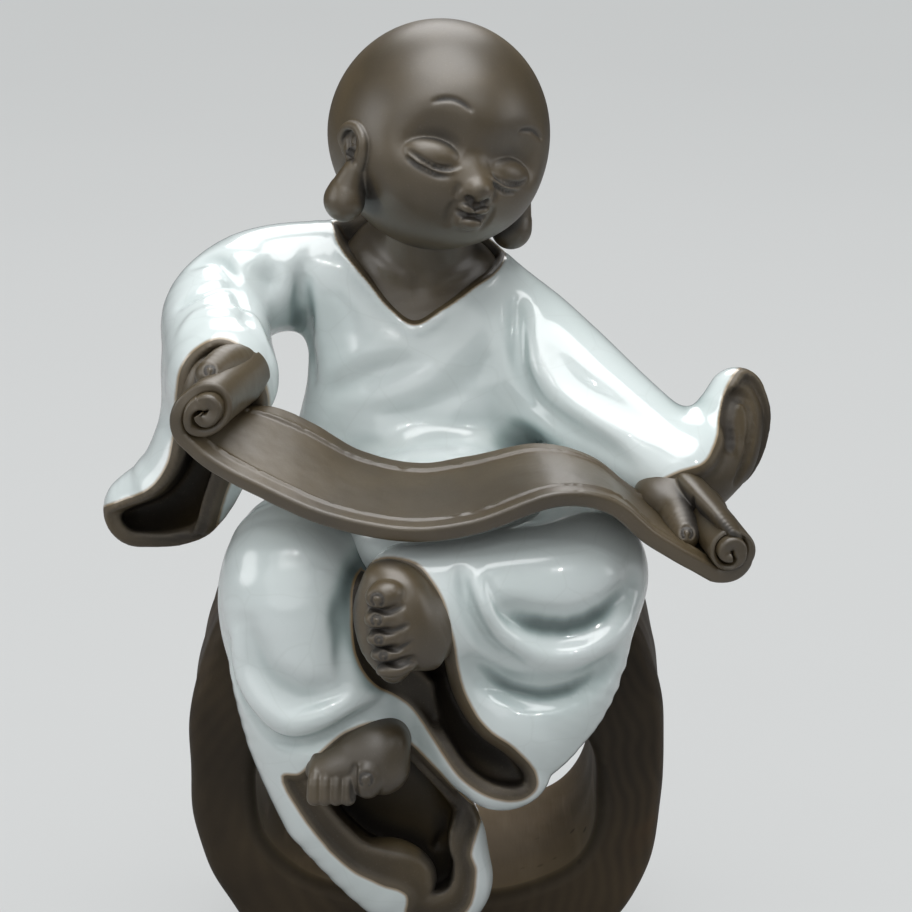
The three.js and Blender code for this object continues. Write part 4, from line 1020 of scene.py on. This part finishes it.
# a closed tube of rows is laid along the rails, and flattened to the slab with its rounded edges
last = given["Length points"] - 1
tube = tree.node("GeometryNodeMeshCylinder", {"fill_type": "NGON"}, {
    "Vertices": given["Round points"], "Side Segments": last, "Radius": 1.0, "Depth": last * 1.0})
x, y, z = tree.axes(tree.node("GeometryNodeInputPosition"))
row = maths("ROUND", z + last * 0.5)
near, far = on_rail(row, False), on_rail(row, True)
ahead = on_rail(row + 1, False) + on_rail(row + 1, True) - on_rail(row - 1, False) - on_rail(row - 1, True)
across = far - near
up = maths("NORMALIZE", maths("CROSS_PRODUCT", ahead, across))
thickness = tree.node("GeometryNodeInputNamedAttribute", {"data_type": "FLOAT"}, {"Name": "thickness"})
thickness = on_rail(row, False, "FLOAT", thickness)
share = 0.5 - x * 0.5
inset = tree.length(across) * maths("MINIMUM", share, 1 - share)
radius = given["Edge radius"]
gap = maths("MAXIMUM", radius - inset, 0.0)
half = thickness * 0.5 - radius + maths("SQRT", radius * radius - gap * gap)
side = maths("SIGN", y)
place = near + across * share + up * (side * half)
# the border line is raised on the open stretch and broken here and there, inside it the slab lies a
# little lower, and its edges are worn and chipped
flat = maths("MINIMUM", row - ROLL_ROWS * 1.0, last - ROLL_ROWS * 1.0 - row).step(-2.0, 6.0)
on_top = side.step(-0.5, 0.5)
away = (inset - given["Border inset"]) / given["Border width"]
line = maths("EXPONENT", away * away * -1.0)
broken = tree.noise(place, 900, 2).step(0.30, 0.46)
ridge = line * given["Border height"] * broken * flat * on_top
dip = (inset - given["Border inset"]).step(0.0, 0.0006) * 0.00012 * flat * on_top
wear = (tree.noise(place, 260, 3) - 0.5) * given["Wear"] * 2.0
chips = tree.node("ShaderNodeTexNoise", {"noise_dimensions": "4D"},
                  {"Vector": place, "Scale": 520.0, "Detail": 2.0, "W": given["Seed"] * 1.7}, "Fac")
chip = chips.step(0.66, 0.74) * inset.step(0.0016, 0.0002) * 0.0004
place = place + up * (ridge - dip + wear - chip * side)
slab = tree.node("GeometryNodeSetPosition", None, {"Geometry": tube, "Position": place})
slab = stored(slab, "thin", line * broken * flat + inset.step(0.0009, 0.0001) * 0.8)
# painted shade inside each rolled end: the inner turns of the roll are darkened
slab = stored(slab, "hollow", maths("MINIMUM", row, last - row).step(60.0, 6.0) * 0.6)
slab = tree.node("GeometryNodeRealizeInstances", None, {"Geometry": slab})
slab = tree.node("GeometryNodeSetMaterial", None, {"Geometry": slab, "Material": clay_finish})
tree.links.new(slab.socket, end.inputs[0])
scroll = grown("scroll_clay", rails, scroll_tree)
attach(scroll, "figure")
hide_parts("scroll")


# Ring of wood: a thick slice of a hollow branch. Both faces are sawn and stained dark, the edges are
# sanded round, and the wall of the natural hollow is smooth, paler, and flecked.

WOOD_HALF_WIDTH, WOOD_HALF_DEPTH = 39.6, 23.0
HOLE_HALF_WIDTH, HOLE_BOTTOM, HOLE_TOP = 28.2, 15.2, 52.5
WOOD_ROUNDING = 2.6  # of the sanded edges
WOOD_MIDDLE = 0.51 * SEAT  # height at which the branch is widest
CROWN, HEEL = 7.0, 2.38  # how far the round outline would pass the sawn seat and the sawn foot
AROUND = 360  # points round the ring


def squircle(angle, wide, high, power):
    """X and Z of a rounded rectangle: an oval at power 2, and squarer above."""
    c, s = np.cos(angle), np.sin(angle)
    return wide * np.sign(c) * np.abs(c) ** (2 / power), high * np.sign(s) * np.abs(s) ** (2 / power)


def ring_of_wood():
    """Points in millimetres, faces, and a number at each point that is 1 on the wall of the hollow."""
    angle = np.linspace(0, 2 * math.pi, AROUND, endpoint=False)
    upper = np.sin(angle) > 0
    x1, z1 = squircle(angle, WOOD_HALF_WIDTH, SEAT - WOOD_MIDDLE + CROWN, 2.7)
    x2, z2 = squircle(angle, WOOD_HALF_WIDTH, WOOD_MIDDLE + HEEL, 2.3)
    knot = 1 + 0.012 * np.sin(3 * angle + 0.6) - 0.008 * np.cos(5 * angle)
    outer = np.stack([np.where(upper, x1, x2) * knot, WOOD_MIDDLE + np.where(upper, z1, z2) * knot], 1)
    x3, z3 = squircle(angle, HOLE_HALF_WIDTH, (HOLE_TOP - HOLE_BOTTOM) / 2, 2.7)
    bulge = 1 + 0.02 * np.cos(2 * angle + 1.1)
    inner = np.stack([x3 * bulge, (HOLE_TOP + HOLE_BOTTOM) / 2 + z3 * bulge], 1)

    # the closed loop of the wall's section: front face, wall of the hollow, back face, bark side
    r, half = WOOD_ROUNDING, WOOD_HALF_DEPTH
    corner = np.linspace(0, math.pi / 2, 8)
    towards = inner - outer
    towards = towards / np.linalg.norm(towards, axis=1, keepdims=True)
    rows = []
    for y in (-1, 1):
        rim, bore = ([(line + way * towards * r * (1 - math.sin(a)), y * (half - r * (1 - math.cos(a))))
                      for a in corner] for line, way in ((outer, 1), (inner, -1)))
        face = [(outer + towards * r + (inner - outer - 2 * r * towards) * t, y * half)
                for t in np.linspace(0, 1, 26)[1:-1]]
        rows.append((rim, face, bore))
    (rim_f, face_f, bore_f), (rim_b, face_b, bore_b) = rows
    wall = np.linspace(-half + r, half - r, 42)[1:-1]
    loop = (rim_f[::-1] + face_f + bore_f + [(inner, y) for y in wall] + bore_b[::-1] + face_b[::-1]
            + rim_b + [(outer, y) for y in wall[::-1]])
    points = np.array([np.column_stack([ring[:, 0], np.full(AROUND, y), ring[:, 1]]) for ring, y in loop])

    # the branch isn't quite even: its sides sway in and out, and both flats stay flat
    sway = 0
    for k, way in enumerate(((0.11, 0.07, 0.09), (0.19, -0.05, 0.13),
                             (0.07, 0.21, -0.1), (-0.16, 0.12, 0.2))):
        sway = sway + np.sin(points @ np.array(way) * 2.2 + 1.7 * k)
    away = points - np.array((0, 0, WOOD_MIDDLE))
    away[..., 1] = 0
    away /= np.linalg.norm(away, axis=2, keepdims=True)
    points = points + away * (sway * 0.09)[..., None]
    points[..., 2] = np.clip(points[..., 2], 0, SEAT)

    count, first, bend = len(loop), len(rim_f) + len(face_f), len(corner)
    a = np.arange(count * AROUND).reshape(count, AROUND)
    b = np.roll(a, -1, 0)
    faces = np.stack([a, np.roll(a, -1, 1), np.roll(b, -1, 1), b], 2).reshape(-1, 4)
    share = np.zeros(count)
    share[first:first + 2 * bend + len(wall)] = 1
    share[first:first + bend] = np.linspace(0, 1, bend)
    share[first + bend + len(wall):first + 2 * bend + len(wall)] = np.linspace(1, 0, bend)
    return points.reshape(-1, 3), faces, np.repeat(share, AROUND)


STAIN_DARK, STAIN_LIGHT, STAIN_RED = (0.025, 0.018, 0.0105), (0.055, 0.039, 0.021), (0.185, 0.088, 0.028)
RING_LIGHT, EDGE_DARK, PINHOLE = (0.115, 0.082, 0.046), (0.016, 0.012, 0.008), (0.018, 0.013, 0.009)
HOLLOW_DARK, HOLLOW_LIGHT = (0.105, 0.084, 0.056), (0.215, 0.178, 0.122)
HOLLOW_STREAK, HOLLOW_FLOOR = (0.34, 0.28, 0.195), (0.33, 0.215, 0.095)


def stained_wood():
    """Growth rings about the pith, fine pores along the branch, and a dark stain that has soaked in
    unevenly. The attribute named bore tells the wall of the hollow from the sawn faces."""
    made, tree, shader, point = material("stained_wood", {"Specular IOR Level": 0.28})
    bore = tree.attribute("bore")
    x, y, z = tree.axes(point)

    def drawn_out(share, pith=0.0):
        """The point with the way along the branch shortened, which draws a pattern out along it."""
        return tree.node("ShaderNodeCombineXYZ", None, {"X": x, "Y": y * share, "Z": z - pith})

    warp = tree.noise(point, 30, 3, "Color") * 0.02
    rings = maths("SINE", tree.length(drawn_out(0.15, 0.034) + warp) * 2600.0) * 0.5 + 0.5
    cloud = tree.noise(point, 34, 4)
    patch = tree.noise(point, 22, 3, Distortion=0.6)
    pore = tree.noise(drawn_out(0.05), 1900, 2)
    streak = tree.noise(drawn_out(0.12), 300, 3)
    color = tree.mix(cloud.step(0.3, 0.7), STAIN_DARK, STAIN_LIGHT)
    color = tree.mix(rings * 0.18 * patch.step(0.35, 0.6), color, RING_LIGHT)
    color = tree.mix(patch.step(0.60, 0.72) * 0.6, color, STAIN_RED)
    wall = tree.mix(cloud.step(0.3, 0.7), HOLLOW_DARK, HOLLOW_LIGHT)
    wall = tree.mix(streak.step(0.5, 0.75) * 0.5, wall, HOLLOW_STREAK)
    pin = tree.node("ShaderNodeTexVoronoi", None, {"Vector": point, "Scale": 210}).step(0.16, 0.08)
    wall = tree.mix(pin * cloud.step(0.42, 0.6) * 0.7, wall, PINHOLE)
    wall = tree.mix(z.step(0.030, 0.012) * 0.5, wall, HOLLOW_FLOOR)
    color = tree.mix(bore, color, wall)
    color = tree.mix(bore * (1 - bore) * 4 * 0.7, color, EDGE_DARK)
    rough = 0.48 + 0.18 * cloud + 0.1 * bore
    height = pore * 0.5 + rings * 0.25 + streak * 0.4
    feed(tree, shader, Base_Color=color, Roughness=rough, Normal=tree.bump(height, 0.35, 0.0003))
    return made


points, faces, bore = ring_of_wood()
ring = plain_mesh("wood", points * MM, faces, {"bore": bore})
ring.data.materials.append(stained_wood())
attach(ring, "stand")
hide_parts("wood_ring")
